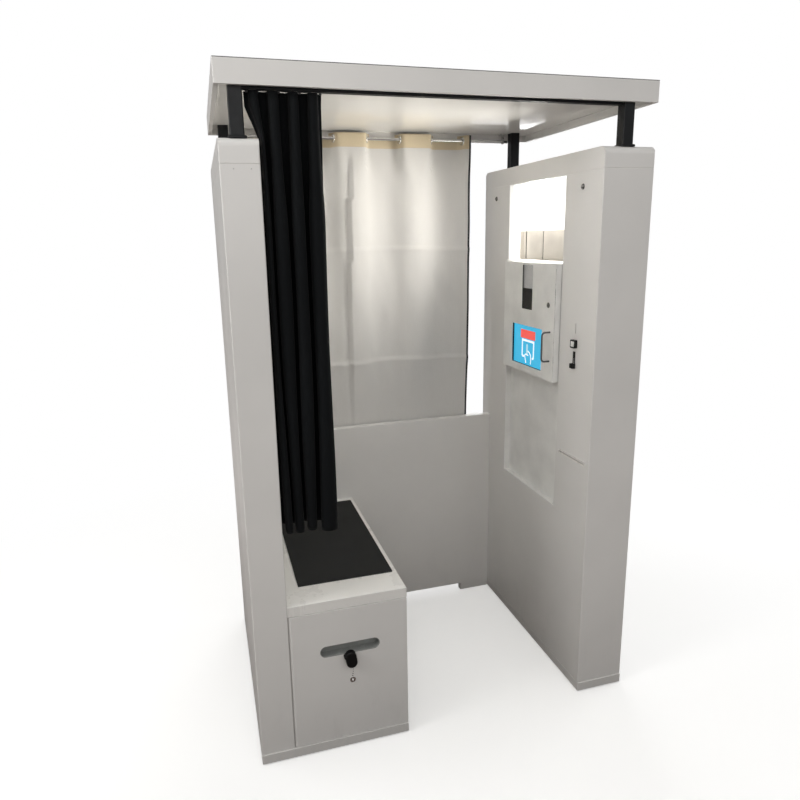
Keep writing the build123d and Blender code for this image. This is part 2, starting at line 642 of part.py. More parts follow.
# ---------------------------------------------------------------- screen unit
DOOR_BACK = RIGHT_IN - 0.5
UNIT_THICK = DOOR_BACK - UNIT_FACE
UNIT_PIVOT = (UNIT_FACE + UNIT_THICK / 2, UNIT_Y[1] - UNIT_THICK / 2)
SCREEN_Y = (283, 503)
SCREEN_Z = (1085, 1232)
WINDOW_Y = (358, 433)
WINDOW_Z = (1292, 1449)
HANDLE_Y = 229
HANDLE_Z = (1130, 1230)
HANDLE_REACH = 33
HANDLE_R = 3
HANDLE_BEND = 12
UNIT_LOCK_AT = (245, 1320)
UNIT_PIN_R = 3
UNIT_PIN_REACH = 16
EAR_THICK = 4
EAR_GAP = 1.2
FRAME_X = (RIGHT_IN + 2, RECESS_BACK - 0.2)
FRAME_SILL = 20
FRAME_HEAD = 18
EAR_NOSE = 7
EAR_WIDE = 16
EAR_ROOT_X = (FRAME_X[0], FRAME_X[0] + 8)
EAR_Z = (
    (UNIT_Z[0] - EAR_GAP - EAR_THICK, UNIT_Z[0] - EAR_GAP),
    (UNIT_Z[1] + EAR_GAP, UNIT_Z[1] + EAR_GAP + EAR_THICK),
)
FRAME_OPEN_Y = (235, 579)
SCREEN_LAP = 5
SCREEN_MARGIN = 0.5

with BuildPart() as unit_frame:
    block(FRAME_X, (LINED_Y[0] + 1, LINED_Y[1] - 1), UNIT_Z)
    block(FRAME_X, FRAME_OPEN_Y, (UNIT_Z[0] + FRAME_SILL, UNIT_Z[1] - FRAME_HEAD), Mode.SUBTRACT)
    ear_y = about(UNIT_PIVOT[1], EAR_WIDE)
    for z in EAR_Z:
        block((UNIT_PIVOT[0] - EAR_NOSE, EAR_ROOT_X[1]), ear_y, z)
        vertical_pin(*UNIT_PIVOT, z, UNIT_PIN_R + PIN_FIT, Mode.SUBTRACT)
    block(EAR_ROOT_X, ear_y, (EAR_Z[0][0], UNIT_Z[0]))
    block(EAR_ROOT_X, ear_y, (UNIT_Z[1], EAR_Z[1][1]))
save(unit_frame.part, "unit_frame")

HINGE_BLOCK = 22
UNIT_EDGE_R = 8
UNIT_SKIN_X = (UNIT_FACE, UNIT_FACE + SHEET)

with BuildPart() as unit_door:
    block((UNIT_FACE, DOOR_BACK), (UNIT_Y[0], UNIT_PIVOT[1]), UNIT_Z)
    near_edges = unit_door.edges().filter_by(Axis.Z).group_by(Axis.Y)[0]
    fillet(near_edges.sort_by(Axis.X)[0:1], UNIT_EDGE_R)
    vertical_pin(*UNIT_PIVOT, UNIT_Z, UNIT_THICK / 2)
    block(
        (UNIT_FACE + SHEET, DOOR_BACK),
        (UNIT_Y[0] + SHEET, UNIT_Y[1] - HINGE_BLOCK),
        (UNIT_Z[0] + SHEET, UNIT_Z[1] - SHEET),
        Mode.SUBTRACT,
    )
    block(UNIT_SKIN_X, SCREEN_Y, SCREEN_Z, Mode.SUBTRACT)
    block(UNIT_SKIN_X, WINDOW_Y, WINDOW_Z, Mode.SUBTRACT)
    cross_pin(UNIT_SKIN_X, *UNIT_LOCK_AT, LOCK_R + PIN_FIT, Mode.SUBTRACT)
    for z in ((UNIT_Z[0], UNIT_Z[0] + UNIT_PIN_REACH), (UNIT_Z[1] - UNIT_PIN_REACH, UNIT_Z[1])):
        vertical_pin(*UNIT_PIVOT, z, UNIT_PIN_R + PIN_FIT, Mode.SUBTRACT)
save(unit_door.part, "unit_door")

with BuildPart() as unit_handle:
    grip_x = UNIT_FACE - HANDLE_REACH + HANDLE_R
    low_end, high_end = HANDLE_Z
    bow_corners = [(UNIT_FACE, low_end), (grip_x, low_end), (grip_x, high_end), (UNIT_FACE, high_end)]
    with BuildLine() as bow:
        FilletPolyline(*[(x, y_at(HANDLE_Y), z) for x, z in bow_corners], radius=HANDLE_BEND)
    with BuildSketch(Plane((UNIT_FACE, y_at(HANDLE_Y), HANDLE_Z[0]), z_dir=(-1, 0, 0))):
        Circle(HANDLE_R)
    sweep(path=bow.line)
save(unit_handle.part, "unit_handle")

UNIT_TONGUE_X = (RECESS_BACK + 0.5, RECESS_BACK + 3.5)
UNIT_TONGUE_LONG = 29
UNIT_FLANGE_X = (UNIT_FACE - LOCK_FLANGE_THICK, UNIT_FACE - TOUCH_GAP)

with BuildPart() as unit_lock:
    cross_pin(UNIT_FLANGE_X, *UNIT_LOCK_AT, LOCK_FLANGE_R)
    cross_pin((UNIT_FACE - TOUCH_GAP, UNIT_TONGUE_X[1]), *UNIT_LOCK_AT, LOCK_R)
    block(
        (UNIT_FLANGE_X[0], UNIT_FACE + KEYWAY[1]),
        about(UNIT_LOCK_AT[0], KEYWAY[0]),
        about(UNIT_LOCK_AT[1], KEYWAY[2]),
        Mode.SUBTRACT,
    )
    block(
        UNIT_TONGUE_X,
        about(UNIT_LOCK_AT[0], 2 * LOCK_R),
        (UNIT_LOCK_AT[1] - UNIT_TONGUE_LONG, UNIT_LOCK_AT[1]),
    )
save(unit_lock.part, "unit_lock")

WINDOW_THICK = 4

with BuildPart() as camera_window:
    block(
        (UNIT_SKIN_X[1], UNIT_SKIN_X[1] + WINDOW_THICK),
        (WINDOW_Y[0] - SCREEN_LAP, WINDOW_Y[1] + SCREEN_LAP),
        (WINDOW_Z[0] - SCREEN_LAP, WINDOW_Z[1] + SCREEN_LAP),
    )
save(camera_window.part, "camera_window")

SCREEN_OUTER_Y = (SCREEN_Y[0] - SCREEN_LAP, SCREEN_Y[1] + SCREEN_LAP)
SCREEN_OUTER_Z = (SCREEN_Z[0] - SCREEN_LAP, SCREEN_Z[1] + SCREEN_LAP)
BEZEL_X = (UNIT_SKIN_X[1], UNIT_SKIN_X[1] + 6)
PANEL_THICK = 11

with BuildPart() as touchscreen_bezel:
    block(BEZEL_X, SCREEN_OUTER_Y, SCREEN_OUTER_Z)
    block(
        BEZEL_X,
        (SCREEN_Y[0] + SCREEN_MARGIN, SCREEN_Y[1] - SCREEN_MARGIN),
        (SCREEN_Z[0] + SCREEN_MARGIN, SCREEN_Z[1] - SCREEN_MARGIN),
        Mode.SUBTRACT,
    )
save(touchscreen_bezel.part, "touchscreen_bezel")

with BuildPart() as touchscreen_panel:
    block((BEZEL_X[1], BEZEL_X[1] + PANEL_THICK), SCREEN_OUTER_Y, SCREEN_OUTER_Z)
save(touchscreen_panel.part, "touchscreen_panel")

# ---------------------------------------------------------------- coin side
ACCEPTOR_X = (483, 585)
CHUTE_X = (HOLLOW[0], ACCEPTOR_X[0])
CHUTE_WIDE = 24
CHUTE_RIM = 7
BEZEL_SIZE = 27
BEZEL_PROUD = 10
BEZEL_ROUND = 4
BUTTON_PROUD = 11.5
BUTTON_ROUND = 2
BUTTON_FACE_ROUND = 1.5
BUTTON_DEEP = 10
BUTTON_STEM_R = 4
BUTTON_STEM_GAP = 5

with BuildPart() as coin_chute:
    block(CHUTE_X, about(COIN_Y, CHUTE_WIDE), (COIN_SLOT_Z[0] - CHUTE_RIM, COIN_SLOT_Z[1] + CHUTE_RIM))
    block(CHUTE_X, about(COIN_Y, COIN_SLOT_WIDE), COIN_SLOT_Z, Mode.SUBTRACT)
save(coin_chute.part, "coin_chute")

with BuildPart() as coin_reject_bezel:
    with BuildSketch(Plane((RIGHT_IN, y_at(COIN_Y), BUTTON_Z), x_dir=(0, 1, 0), z_dir=(-1, 0, 0))):
        RectangleRounded(BEZEL_SIZE, BEZEL_SIZE, BEZEL_ROUND)
        Rectangle(BUTTON_HOLE, BUTTON_HOLE, mode=Mode.SUBTRACT)
    extrude(amount=BEZEL_PROUD)
save(coin_reject_bezel.part, "coin_reject_bezel")

with BuildPart() as coin_reject_button:
    button_x = (RIGHT_IN - BUTTON_PROUD, RIGHT_IN + BUTTON_DEEP)
    block(button_x, about(COIN_Y, BUTTON_SIZE), about(BUTTON_Z, BUTTON_SIZE))
    fillet(coin_reject_button.edges().filter_by(Axis.X), BUTTON_ROUND)
    fillet(coin_reject_button.faces().sort_by(Axis.X)[0].edges(), BUTTON_FACE_ROUND)
    cross_pin((button_x[1], ACCEPTOR_X[0] - BUTTON_STEM_GAP), COIN_Y, BUTTON_Z, BUTTON_STEM_R)
save(coin_reject_button.part, "coin_reject_button")

RETURN_PLATE_WIDE = 10
RETURN_PLATE_X = (RIGHT_IN - 3, RIGHT_IN)
CUP_OUT = 16
CUP_WIDE = 14
CUP_RIM_Z = (RETURN_Z[0] - 4, RETURN_Z[0] + 12)
CUP_FLOOR = 2
CUP_SIDE = 1.5
CUP_ROUND = 5
CUP_LIP_ROUND = 1

with BuildPart() as coin_return_cup:
    block((RIGHT_IN - CUP_OUT, RIGHT_IN), about(COIN_Y, CUP_WIDE), CUP_RIM_Z)
    outer_face = coin_return_cup.faces().sort_by(Axis.X)[0]
    upright_edges = outer_face.edges().filter_by(Axis.Z)
    low_edge = outer_face.edges().filter_by(Axis.Y).sort_by(Axis.Z)[0:1]
    fillet(upright_edges + low_edge, CUP_ROUND)
    block(
        (RIGHT_IN - CUP_OUT + CUP_SIDE, RETURN_PLATE_X[0]),
        about(COIN_Y, CUP_WIDE - 2 * CUP_SIDE),
        (CUP_RIM_Z[0] + CUP_FLOOR, CUP_RIM_Z[1]),
        Mode.SUBTRACT,
    )
    block(RETURN_PLATE_X, about(COIN_Y, RETURN_PLATE_WIDE), RETURN_Z)
    block(RETURN_PLATE_X, RETURN_WAY_Y, RETURN_WAY_Z, Mode.SUBTRACT)
save(coin_return_cup.part, "coin_return_cup")

ACCEPTOR_Y = (70, 172)
ACCEPTOR_Z = (1085, 1290)
ACCEPTOR_ROUND = 4
CASH_PATH_Y = (84, 158)
CASH_PATH_TOP = 1105
CASH_BOX_X = (480, 600)
CASH_BOX_Y = (60, 198)
CASH_BOX_Z = (COIN_SHELF_Z[1], 1075)
CASH_BOX_WALL = 3
CASH_INLET_X = (500, 560)
CASH_INLET_Y = (90, 150)

with BuildPart() as coin_acceptor:
    block(ACCEPTOR_X, ACCEPTOR_Y, ACCEPTOR_Z)
    fillet(coin_acceptor.edges().filter_by(Axis.X), ACCEPTOR_ROUND)
    block(ACCEPTOR_X, CASH_PATH_Y, (ACCEPTOR_Z[0], CASH_PATH_TOP), Mode.SUBTRACT)
save(coin_acceptor.part, "coin_acceptor")

with BuildPart() as cash_box:
    block(CASH_BOX_X, CASH_BOX_Y, CASH_BOX_Z)
    offset(amount=-CASH_BOX_WALL, mode=Mode.SUBTRACT)
    block(CASH_INLET_X, CASH_INLET_Y, (CASH_BOX_Z[1] - CASH_BOX_WALL, CASH_BOX_Z[1]), Mode.SUBTRACT)
save(cash_box.part, "cash_box")

BOLT_HEAD_R = 9
BOLT_HEAD_HIGH = 6

with BuildPart() as dome_bolts:
    for bolt_y in BOLT_Y:
        # The head is a slice of a ball that is BOLT_HEAD_HIGH tall and BOLT_HEAD_R wide.
        ball = (BOLT_HEAD_R**2 + BOLT_HEAD_HIGH**2) / (2 * BOLT_HEAD_HIGH)
        plane = Plane((RIGHT_IN, y_at(bolt_y), BOLT_Z), x_dir=(0, 1, 0), z_dir=(0, 0, 1))
        with BuildSketch(plane):
            with BuildLine():
                top = (0, BOLT_HEAD_HIGH)
                rim = (BOLT_HEAD_R, 0)
                RadiusArc(top, rim, ball)
                Polyline(rim, (0, 0), top)
            make_face()
        revolve(axis=Axis(plane.origin, plane.y_dir))
        cross_pin((RIGHT_IN, HOLLOW[0]), bolt_y, BOLT_Z, BOLT_SHANK_R)
save(dome_bolts.part, "dome_bolts")

# ---------------------------------------------------------------- photo slot and equipment
LIP_MARGIN = 5
LIP_TOP_MARGIN = 3
LIP_PROUD = 3
LIP_ROUND = 2
CASE_ROUND = 4
PRINTER_X = (480, 600)
PRINTER_Y = (30, 330)
PRINTER_TOP = 895
PRINTER_SLOT_X = (480, 500)
PRINTER_SLOT_Y = (PHOTO_SLOT_Y[0] + 8, PHOTO_SLOT_Y[1])
COMPUTER_X = (482, 600)
COMPUTER_Y = (350, 700)
COMPUTER_TOP = 1030
SUPPLY_Y = (60, 260)
SUPPLY_HIGH = 120
SOCKET_INSET = (11, 7)
SOCKET_DEEP = 14
BLADE_PITCH = 7
BLADE = (2, 9, 6)

with BuildPart() as photo_slot_lip:
    block(
        (RIGHT_IN - LIP_PROUD, RIGHT_IN),
        (PHOTO_SLOT_Y[0] - LIP_MARGIN, PHOTO_SLOT_Y[1] + LIP_MARGIN),
        (PHOTO_SLOT_Z[0] - LIP_MARGIN, PHOTO_SLOT_Z[1] + LIP_TOP_MARGIN),
    )
    fillet(photo_slot_lip.edges().filter_by(Axis.X), LIP_ROUND)
    block((RIGHT_IN - LIP_PROUD, RIGHT_IN), PHOTO_SLOT_Y, PHOTO_SLOT_Z, Mode.SUBTRACT)
save(photo_slot_lip.part, "photo_slot_lip")

with BuildPart() as photo_printer:
    upright(PRINTER_X, PRINTER_Y, (SHELF_Z[1], PRINTER_TOP), CASE_ROUND)
    block(PRINTER_SLOT_X, PRINTER_SLOT_Y, PHOTO_SLOT_Z, Mode.SUBTRACT)
save(photo_printer.part, "photo_printer")

with BuildPart() as computer:
    upright(COMPUTER_X, COMPUTER_Y, (SHELF_Z[1], COMPUTER_TOP), CASE_ROUND)
save(computer.part, "computer")

with BuildPart() as power_supply:
    supply_floor = PLINTH_TOP + BOARD
    upright(COMPUTER_X, SUPPLY_Y, (supply_floor, supply_floor + SUPPLY_HIGH), CASE_ROUND)
save(power_supply.part, "power_supply")

with BuildPart() as power_inlet:
    block(INLET_X, (DEPTH - BOARD, DEPTH), INLET_Z)
    block(
        (INLET_X[0] + SOCKET_INSET[0], INLET_X[1] - SOCKET_INSET[0]),
        (DEPTH - SOCKET_DEEP, DEPTH),
        (INLET_Z[0] + SOCKET_INSET[1], INLET_Z[1] - SOCKET_INSET[1]),
        Mode.SUBTRACT,
    )
    for blade in (-1, 0, 1):
        blade_x = middle(INLET_X) + blade * BLADE_PITCH
        blade_y = (DEPTH - SOCKET_DEEP, DEPTH - SOCKET_DEEP + BLADE[1])
        block(about(blade_x, BLADE[0]), blade_y, about(middle(INLET_Z), BLADE[2]))
save(power_inlet.part, "power_inlet")

# ---------------------------------------------------------------- service door
SERVICE_DOOR_Z = (SERVICE_Z[0] + SERVICE_GAP, SERVICE_Z[1] - SERVICE_GAP)
SERVICE_LOCK_AT = (140, 850)
VENT_ROWS = 10
VENT_PITCH = 16
VENT_HIGH = 6
VENT_Y = (250, 550)
VENT_BOTTOMS = (180, 1380)
SERVICE_PIN_REACH = 24
SERVICE_LOCK_X = (HOLLOW[1] - 5, RIGHT)
SERVICE_TONGUE_X = (HOLLOW[1] - 5, HOLLOW[1] - 1)

with BuildPart() as service_door:
    panel_y = (SERVICE_Y[0] + SERVICE_GAP, SERVICE_PIVOT[1])
    add(pivot_panel(OUTER_BOARD, panel_y, SERVICE_DOOR_Z, SERVICE_PIVOT, BOARD / 2))
    for bottom in VENT_BOTTOMS:
        for row in range(VENT_ROWS):
            low = bottom + row * VENT_PITCH
            block(OUTER_BOARD, VENT_Y, (low, low + VENT_HIGH), Mode.SUBTRACT)
    cross_pin(OUTER_BOARD, *SERVICE_LOCK_AT, LOCK_R + PIN_FIT, Mode.SUBTRACT)
    for z in (
        (SERVICE_DOOR_Z[0], SERVICE_DOOR_Z[0] + SERVICE_PIN_REACH + 1),
        (SERVICE_DOOR_Z[1] - SERVICE_PIN_REACH - 1, SERVICE_DOOR_Z[1]),
    ):
        vertical_pin(*SERVICE_PIVOT, z, PIN_R + PIN_FIT, Mode.SUBTRACT)
save(service_door.part, "service_door")

with BuildPart() as service_lock:
    cross_pin(SERVICE_LOCK_X, *SERVICE_LOCK_AT, LOCK_R)
    block(
        (RIGHT - KEYWAY[1], RIGHT),
        about(SERVICE_LOCK_AT[0], KEYWAY[0]),
        about(SERVICE_LOCK_AT[1], KEYWAY[2]),
        Mode.SUBTRACT,
    )
    block(
        SERVICE_TONGUE_X,
        about(SERVICE_LOCK_AT[0], 2 * LOCK_R),
        (SERVICE_LOCK_AT[1] - 2 * TONGUE_LONG, SERVICE_LOCK_AT[1]),
    )
save(service_lock.part, "service_lock")

# ---------------------------------------------------------------- hinge pins
with BuildPart() as hinge_pins:
    for z in (SEAT_PIN_LOW, SEAT_PIN_HIGH):
        vertical_pin(*SEAT_PIVOT, z, PIN_R)
    for z in (
        (SERVICE_Z[0] - PIN_REACH + 1, SERVICE_DOOR_Z[0] + SERVICE_PIN_REACH),
        (SERVICE_DOOR_Z[1] - SERVICE_PIN_REACH, SERVICE_Z[1] + PIN_REACH - 1),
    ):
        vertical_pin(*SERVICE_PIVOT, z, PIN_R)
    for z in (
        (EAR_Z[0][0], UNIT_Z[0] + UNIT_PIN_REACH - 1),
        (UNIT_Z[1] - UNIT_PIN_REACH + 1, EAR_Z[1][1]),
    ):
        vertical_pin(*UNIT_PIVOT, z, UNIT_PIN_R)
save(hinge_pins.part, "hinge_pins")
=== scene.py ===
"""The looks of the photo booth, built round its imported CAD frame. Metres, +X right, +Y in, +Z up.

Each material has its own short function, then each group of pieces that Blender adds or replaces:
the two curtains with what carries them, the display, the window film, the lit bay, marks and screws.
"""

import json
import math

import bpy
from mathutils import Matrix, Vector, noise


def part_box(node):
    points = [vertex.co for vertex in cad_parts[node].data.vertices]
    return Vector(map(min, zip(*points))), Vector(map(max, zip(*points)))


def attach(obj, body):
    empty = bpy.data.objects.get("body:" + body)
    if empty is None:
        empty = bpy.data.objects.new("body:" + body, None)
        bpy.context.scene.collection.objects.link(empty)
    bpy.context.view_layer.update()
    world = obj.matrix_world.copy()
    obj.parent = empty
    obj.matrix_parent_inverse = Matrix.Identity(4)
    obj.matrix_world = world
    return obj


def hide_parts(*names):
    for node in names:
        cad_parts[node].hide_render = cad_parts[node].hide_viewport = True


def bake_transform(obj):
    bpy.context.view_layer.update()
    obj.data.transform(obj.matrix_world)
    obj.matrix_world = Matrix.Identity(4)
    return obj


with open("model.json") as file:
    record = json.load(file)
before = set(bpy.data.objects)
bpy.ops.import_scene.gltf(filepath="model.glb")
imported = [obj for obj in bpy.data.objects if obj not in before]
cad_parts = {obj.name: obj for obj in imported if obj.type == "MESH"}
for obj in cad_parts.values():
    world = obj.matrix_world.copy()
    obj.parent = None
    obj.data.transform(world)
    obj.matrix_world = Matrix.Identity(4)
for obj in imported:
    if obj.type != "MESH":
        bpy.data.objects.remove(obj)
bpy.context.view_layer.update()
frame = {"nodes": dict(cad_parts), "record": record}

# The camera: where it stands, how it is turned, and its lens on a 36 mm sensor.
CAMERA_AT = (-0.6894, -2.0792, 1.5521)
CAMERA_YAW = 15.80
CAMERA_PITCH = -12.65
CAMERA_ROLL = -1.15
CAMERA_LENS = 28.76
CAMERA_SHIFT = (0.0175, -0.0230)

# The floor as it is seen: its colour, its own glow, and the distances over which it turns white.
FLOOR_PALE = (0.86, 0.86, 0.85)
FLOOR_LIFT = 0.34
FLOOR_WHITE_FROM = 1.1
FLOOR_WHITE_TO = 2.4
# The floor as it throws light back: dull at the booth, paler away from it, between two distances.
FLOOR_NEAR = (0.10, 0.075, 0.062)
FLOOR_FAR = (0.50, 0.46, 0.43)
FLOOR_NEAR_TO = (0.5, 2.2)
FLOOR_REACH = 30
# The sky's strength at the horizon and overhead, and its share from the front and from behind.
SKY_LOW = 0.22
SKY_HIGH = 0.50
SKY_FRONT = 1.1
SKY_REAR = 0.55
SKY_RISE = (-0.1, 1.0)
SKY_DEPTH = (-0.7, 0.8)
# The studio's soft lights: name, place, what it faces, size, power in watts, colour.
SOFT_WHITE = (1.0, 0.985, 0.965)
COOL_WHITE = (0.99, 0.99, 1.0)
STUDIO_LIGHTS = (
    ("key", (-0.9, -0.9, 3.0), (0.0, -0.1, 1.2), (1.0, 0.7), 4.2, (1.0, 0.985, 0.96)),
    ("left_soft", (-2.8, -0.95, 2.3), (0.4, -0.3, 1.2), (0.9, 0.9), 22, SOFT_WHITE),
    ("front_soft", (-0.7, -3.1, 2.5), (0.0, 0.0, 1.2), (2.4, 1.8), 20, SOFT_WHITE),
    ("fill", (1.9, -2.9, 2.9), (0.2, 0.0, 1.2), (2.0, 1.6), 6, (0.98, 0.985, 1.0)),
    ("rear_soft", (1.2, 3.6, 2.2), (0.0, 0.5, 1.0), (2.4, 1.8), 48, COOL_WHITE),
    ("side_soft", (3.8, 0.6, 2.0), (0.6, 0.0, 1.0), (2.0, 1.8), 34, COOL_WHITE),
    ("left_side_soft", (-3.8, 1.2, 2.0), (-0.6, 0.2, 1.0), (2.0, 1.8), 26, COOL_WHITE),
)
# The light panel's own light: how far it stands in front of the panel and below its top edge.
PANEL_GLOW_OUT = 0.004
PANEL_GLOW_DOWN = 0.084
PANEL_GLOW_SIZE = (0.16, 0.37)
PANEL_GLOW_POWER = 4.2
PANEL_GLOW_COLOR = (1.0, 0.965, 0.90)
PANEL_GLOW_SPREAD = 130


# ------------------------------------ material tools
class Finish:
    """One material while it is being made: its node tree, its shader and short ways to add nodes."""

    def __init__(self, name, color, roughness, metallic=0.0):
        self.material = bpy.data.materials.new(name)
        self.material.use_nodes = True
        self.tree = self.material.node_tree
        self.shader = self.tree.nodes["Principled BSDF"]
        self.set("Base Color", (*color, 1.0))
        self.set("Roughness", roughness)
        self.set("Metallic", metallic)

    def set(self, socket, value):
        self.shader.inputs[socket].default_value = value

    def link(self, out, into):
        self.tree.links.new(out, into)

    def node(self, kind, **settings):
        made = self.tree.nodes.new("ShaderNode" + kind)
        for key, value in settings.items():
            setattr(made, key, value)
        return made

    def place(self, stretch=(1, 1, 1), turn=(0, 0, 0)):
        """Coordinates in the object's own metres, stretched and turned."""
        coords = self.node("TexCoord")
        mapping = self.node("Mapping")
        mapping.inputs["Scale"].default_value = stretch
        mapping.inputs["Rotation"].default_value = turn
        self.link(coords.outputs["Object"], mapping.inputs["Vector"])
        return mapping.outputs["Vector"]

    def noise(self, scale, detail=3.0, rough=0.5, stretch=(1, 1, 1)):
        made = self.node("TexNoise")
        made.inputs["Scale"].default_value = scale
        made.inputs["Detail"].default_value = detail
        made.inputs["Roughness"].default_value = rough
        self.link(self.place(stretch), made.inputs["Vector"])
        return made.outputs["Fac"]

    def bands(self, per_metre, axis, turn=(0, 0, 0), distortion=0.0):
        """Fine parallel ridges, so many to the metre."""
        made = self.node("TexWave", wave_type="BANDS", bands_direction=axis, wave_profile="SIN")
        made.inputs["Scale"].default_value = per_metre * math.pi / 10
        made.inputs["Distortion"].default_value = distortion
        self.link(self.place(turn=turn), made.inputs["Vector"])
        return made.outputs["Fac"]

    def spread(self, value, low_in, high_in, low_out=0.0, high_out=1.0):
        made = self.node("MapRange")
        for socket, number in zip(made.inputs[1:5], (low_in, high_in, low_out, high_out)):
            socket.default_value = number
        self.link(value, made.inputs[0])
        return made.outputs[0]

    def times(self, a, b):
        made = self.node("Math", operation="MULTIPLY")
        self.link(a, made.inputs[0])
        if isinstance(b, (int, float)):
            made.inputs[1].default_value = b
        else:
            self.link(b, made.inputs[1])
        return made.outputs[0]

    def plus(self, a, b):
        made = self.node("Math", operation="ADD")
        self.link(a, made.inputs[0])
        self.link(b, made.inputs[1])
        return made.outputs[0]

    def mixed(self, amount, first, second):
        """A colour between two colours or colour outputs."""
        made = self.node("Mix", data_type="RGBA")
        self.link(amount, made.inputs["Factor"])
        for socket, color in ((made.inputs[6], first), (made.inputs[7], second)):
            if isinstance(color, tuple):
                socket.default_value = (*color, 1.0)
            else:
                self.link(color, socket)
        return made.outputs[2]

    def height(self):
        """The height above the floor."""
        split = self.node("SeparateXYZ")
        self.link(self.place(), split.inputs[0])
        return split.outputs["Z"]

    def color(self, out):
        self.link(out, self.shader.inputs["Base Color"])

    def roughness(self, out):
        self.link(out, self.shader.inputs["Roughness"])

    def relief(self, height, depth, strength=1.0):
        made = self.node("Bump")
        made.inputs["Strength"].default_value = strength
        made.inputs["Distance"].default_value = depth
        self.link(height, made.inputs["Height"])
        self.link(made.outputs["Normal"], self.shader.inputs["Normal"])


def shade(color, factor):
    return tuple(min(1.0, c * factor) for c in color)


# ------------------------------------ materials
WHITE = (0.80, 0.79, 0.77)
CREAM = (0.70, 0.595, 0.415)
LINING = (0.74, 0.74, 0.73)
PANEL_BACK = (0.06, 0.06, 0.065)
LIT_EDGE = 0.001


def laminate(name, color, roughness=0.34, scuff_top=0.30):
    """White board laminate: faint mottling, fine hammer, wipe marks, and scuffs low down."""
    made = Finish(name, color, roughness)
    mottle = made.spread(made.noise(3.5, 4), 0.35, 0.65)
    clean = made.mixed(mottle, shade(color, 0.965), shade(color, 1.015))
    low_down = made.spread(made.height(), 0.0, scuff_top, 1.0, 0.0)
    marks = made.spread(made.noise(26, 7, 0.68, (1, 1, 0.35)), 0.54, 0.70)
    color_out = made.mixed(made.times(low_down, made.times(marks, 0.12)), clean, shade(color, 0.52))
    made.color(color_out)
    wiped = made.spread(made.noise(9, 5, 0.6, (1, 1, 0.18)), 0.3, 0.7, roughness - 0.05, roughness + 0.09)
    made.roughness(wiped)
    made.set("Coat Weight", 0.12)
    made.set("Coat Roughness", 0.22)
    made.relief(made.noise(750, 2), 0.00006)
    return made.material


def gloss_board(name, color, roughness):
    """A glossier white board with a faint ripple."""
    made = Finish(name, color, roughness)
    made.color(made.mixed(made.spread(made.noise(5, 4), 0.35, 0.65), shade(color, 0.975), color))
    made.roughness(made.spread(made.noise(14, 5), 0.3, 0.7, roughness * 0.8, roughness * 1.4))
    made.relief(made.noise(9, 2), 0.0004, 0.35)
    return made.material


def powder_coat(name, color, roughness=0.42, grain=0.00012, gloss=0.5):
    """Powder-coated sheet metal: orange peel, slight shade changes."""
    made = Finish(name, color, roughness)
    made.set("Specular IOR Level", gloss)
    made.color(made.mixed(made.spread(made.noise(11, 4), 0.35, 0.65), shade(color, 0.93), shade(color, 1.04)))
    made.roughness(made.spread(made.noise(60, 4), 0.3, 0.7, roughness - 0.06, roughness + 0.08))
    made.relief(made.noise(520, 3, 0.6), grain)
    return made.material


def roof_paint(name, color):
    """Dark painted roof sheet with a film of dust that gathers in patches."""
    made = Finish(name, color, 0.5)
    dust = made.times(made.spread(made.noise(7, 8, 0.65), 0.42, 0.72), 0.5)
    made.color(made.mixed(dust, color, (0.36, 0.35, 0.33)))
    made.roughness(made.spread(dust, 0.0, 0.5, 0.42, 0.85))
    made.relief(made.noise(300, 4), 0.0002)
    return made.material


def plastic(name, color, roughness=0.45, grain=0.0001, wear=0.35, gloss=0.5):
    """Moulded plastic with a fine spark grain and handling marks."""
    made = Finish(name, color, roughness)
    made.set("Specular IOR Level", gloss)
    rubbed = made.times(made.spread(made.noise(55, 6, 0.62), 0.52, 0.75), wear)
    made.color(made.mixed(rubbed, color, shade(color, 1.9)))
    made.roughness(made.spread(made.noise(90, 4), 0.3, 0.7, roughness - 0.08, roughness + 0.08))
    made.relief(made.noise(1500, 2), grain)
    return made.material


def plated(name, color, roughness, spangle=0.0, brushed=None):
    """Plated or brushed metal. Spangle mottles it, brushed stretches its grain along one axis."""
    made = Finish(name, color, roughness, 1.0)
    patches = made.spread(made.noise(130, 5, 0.6), 0.3, 0.7)
    made.color(made.mixed(patches, shade(color, 1.0 - spangle), color))
    made.roughness(made.spread(patches, 0.0, 1.0, roughness * 0.8, roughness * 1.3 + 0.02))
    grain = made.noise(700, 2, 0.5, brushed) if brushed else made.noise(420, 2)
    made.relief(grain, 0.00004)
    return made.material


def cloth(name, color, tint, sheen=0.35, thread=0.0009, roughness=0.85, gloss=0.5):
    """Woven curtain cloth: warp and weft, uneven threads, soft shade changes and a little sheen."""
    made = Finish(name, color, roughness)
    quarter = math.radians(45)
    warp = made.bands(1 / thread, "X", (0, 0, quarter), 0.6)
    weft = made.bands(1 / thread, "Z", distortion=0.6)
    weave = made.plus(made.times(warp, 0.5), made.times(weft, 0.5))
    slub = made.spread(made.noise(240, 3, 0.5, (1, 1, 0.12)), 0.3, 0.7)
    soft = made.spread(made.noise(6, 5, 0.55, (1, 1, 0.5)), 0.3, 0.7)
    threads = made.mixed(made.spread(weave, 0.1, 0.9), shade(color, 0.84), shade(color, 1.05))
    made.color(made.mixed(made.times(made.times(slub, soft), 0.5), threads, tint))
    made.set("Specular IOR Level", gloss)
    made.set("Sheen Weight", sheen)
    made.set("Sheen Roughness", 0.45)
    made.relief(made.plus(weave, made.times(slub, 0.6)), 0.00022, 0.7)
    return made.material


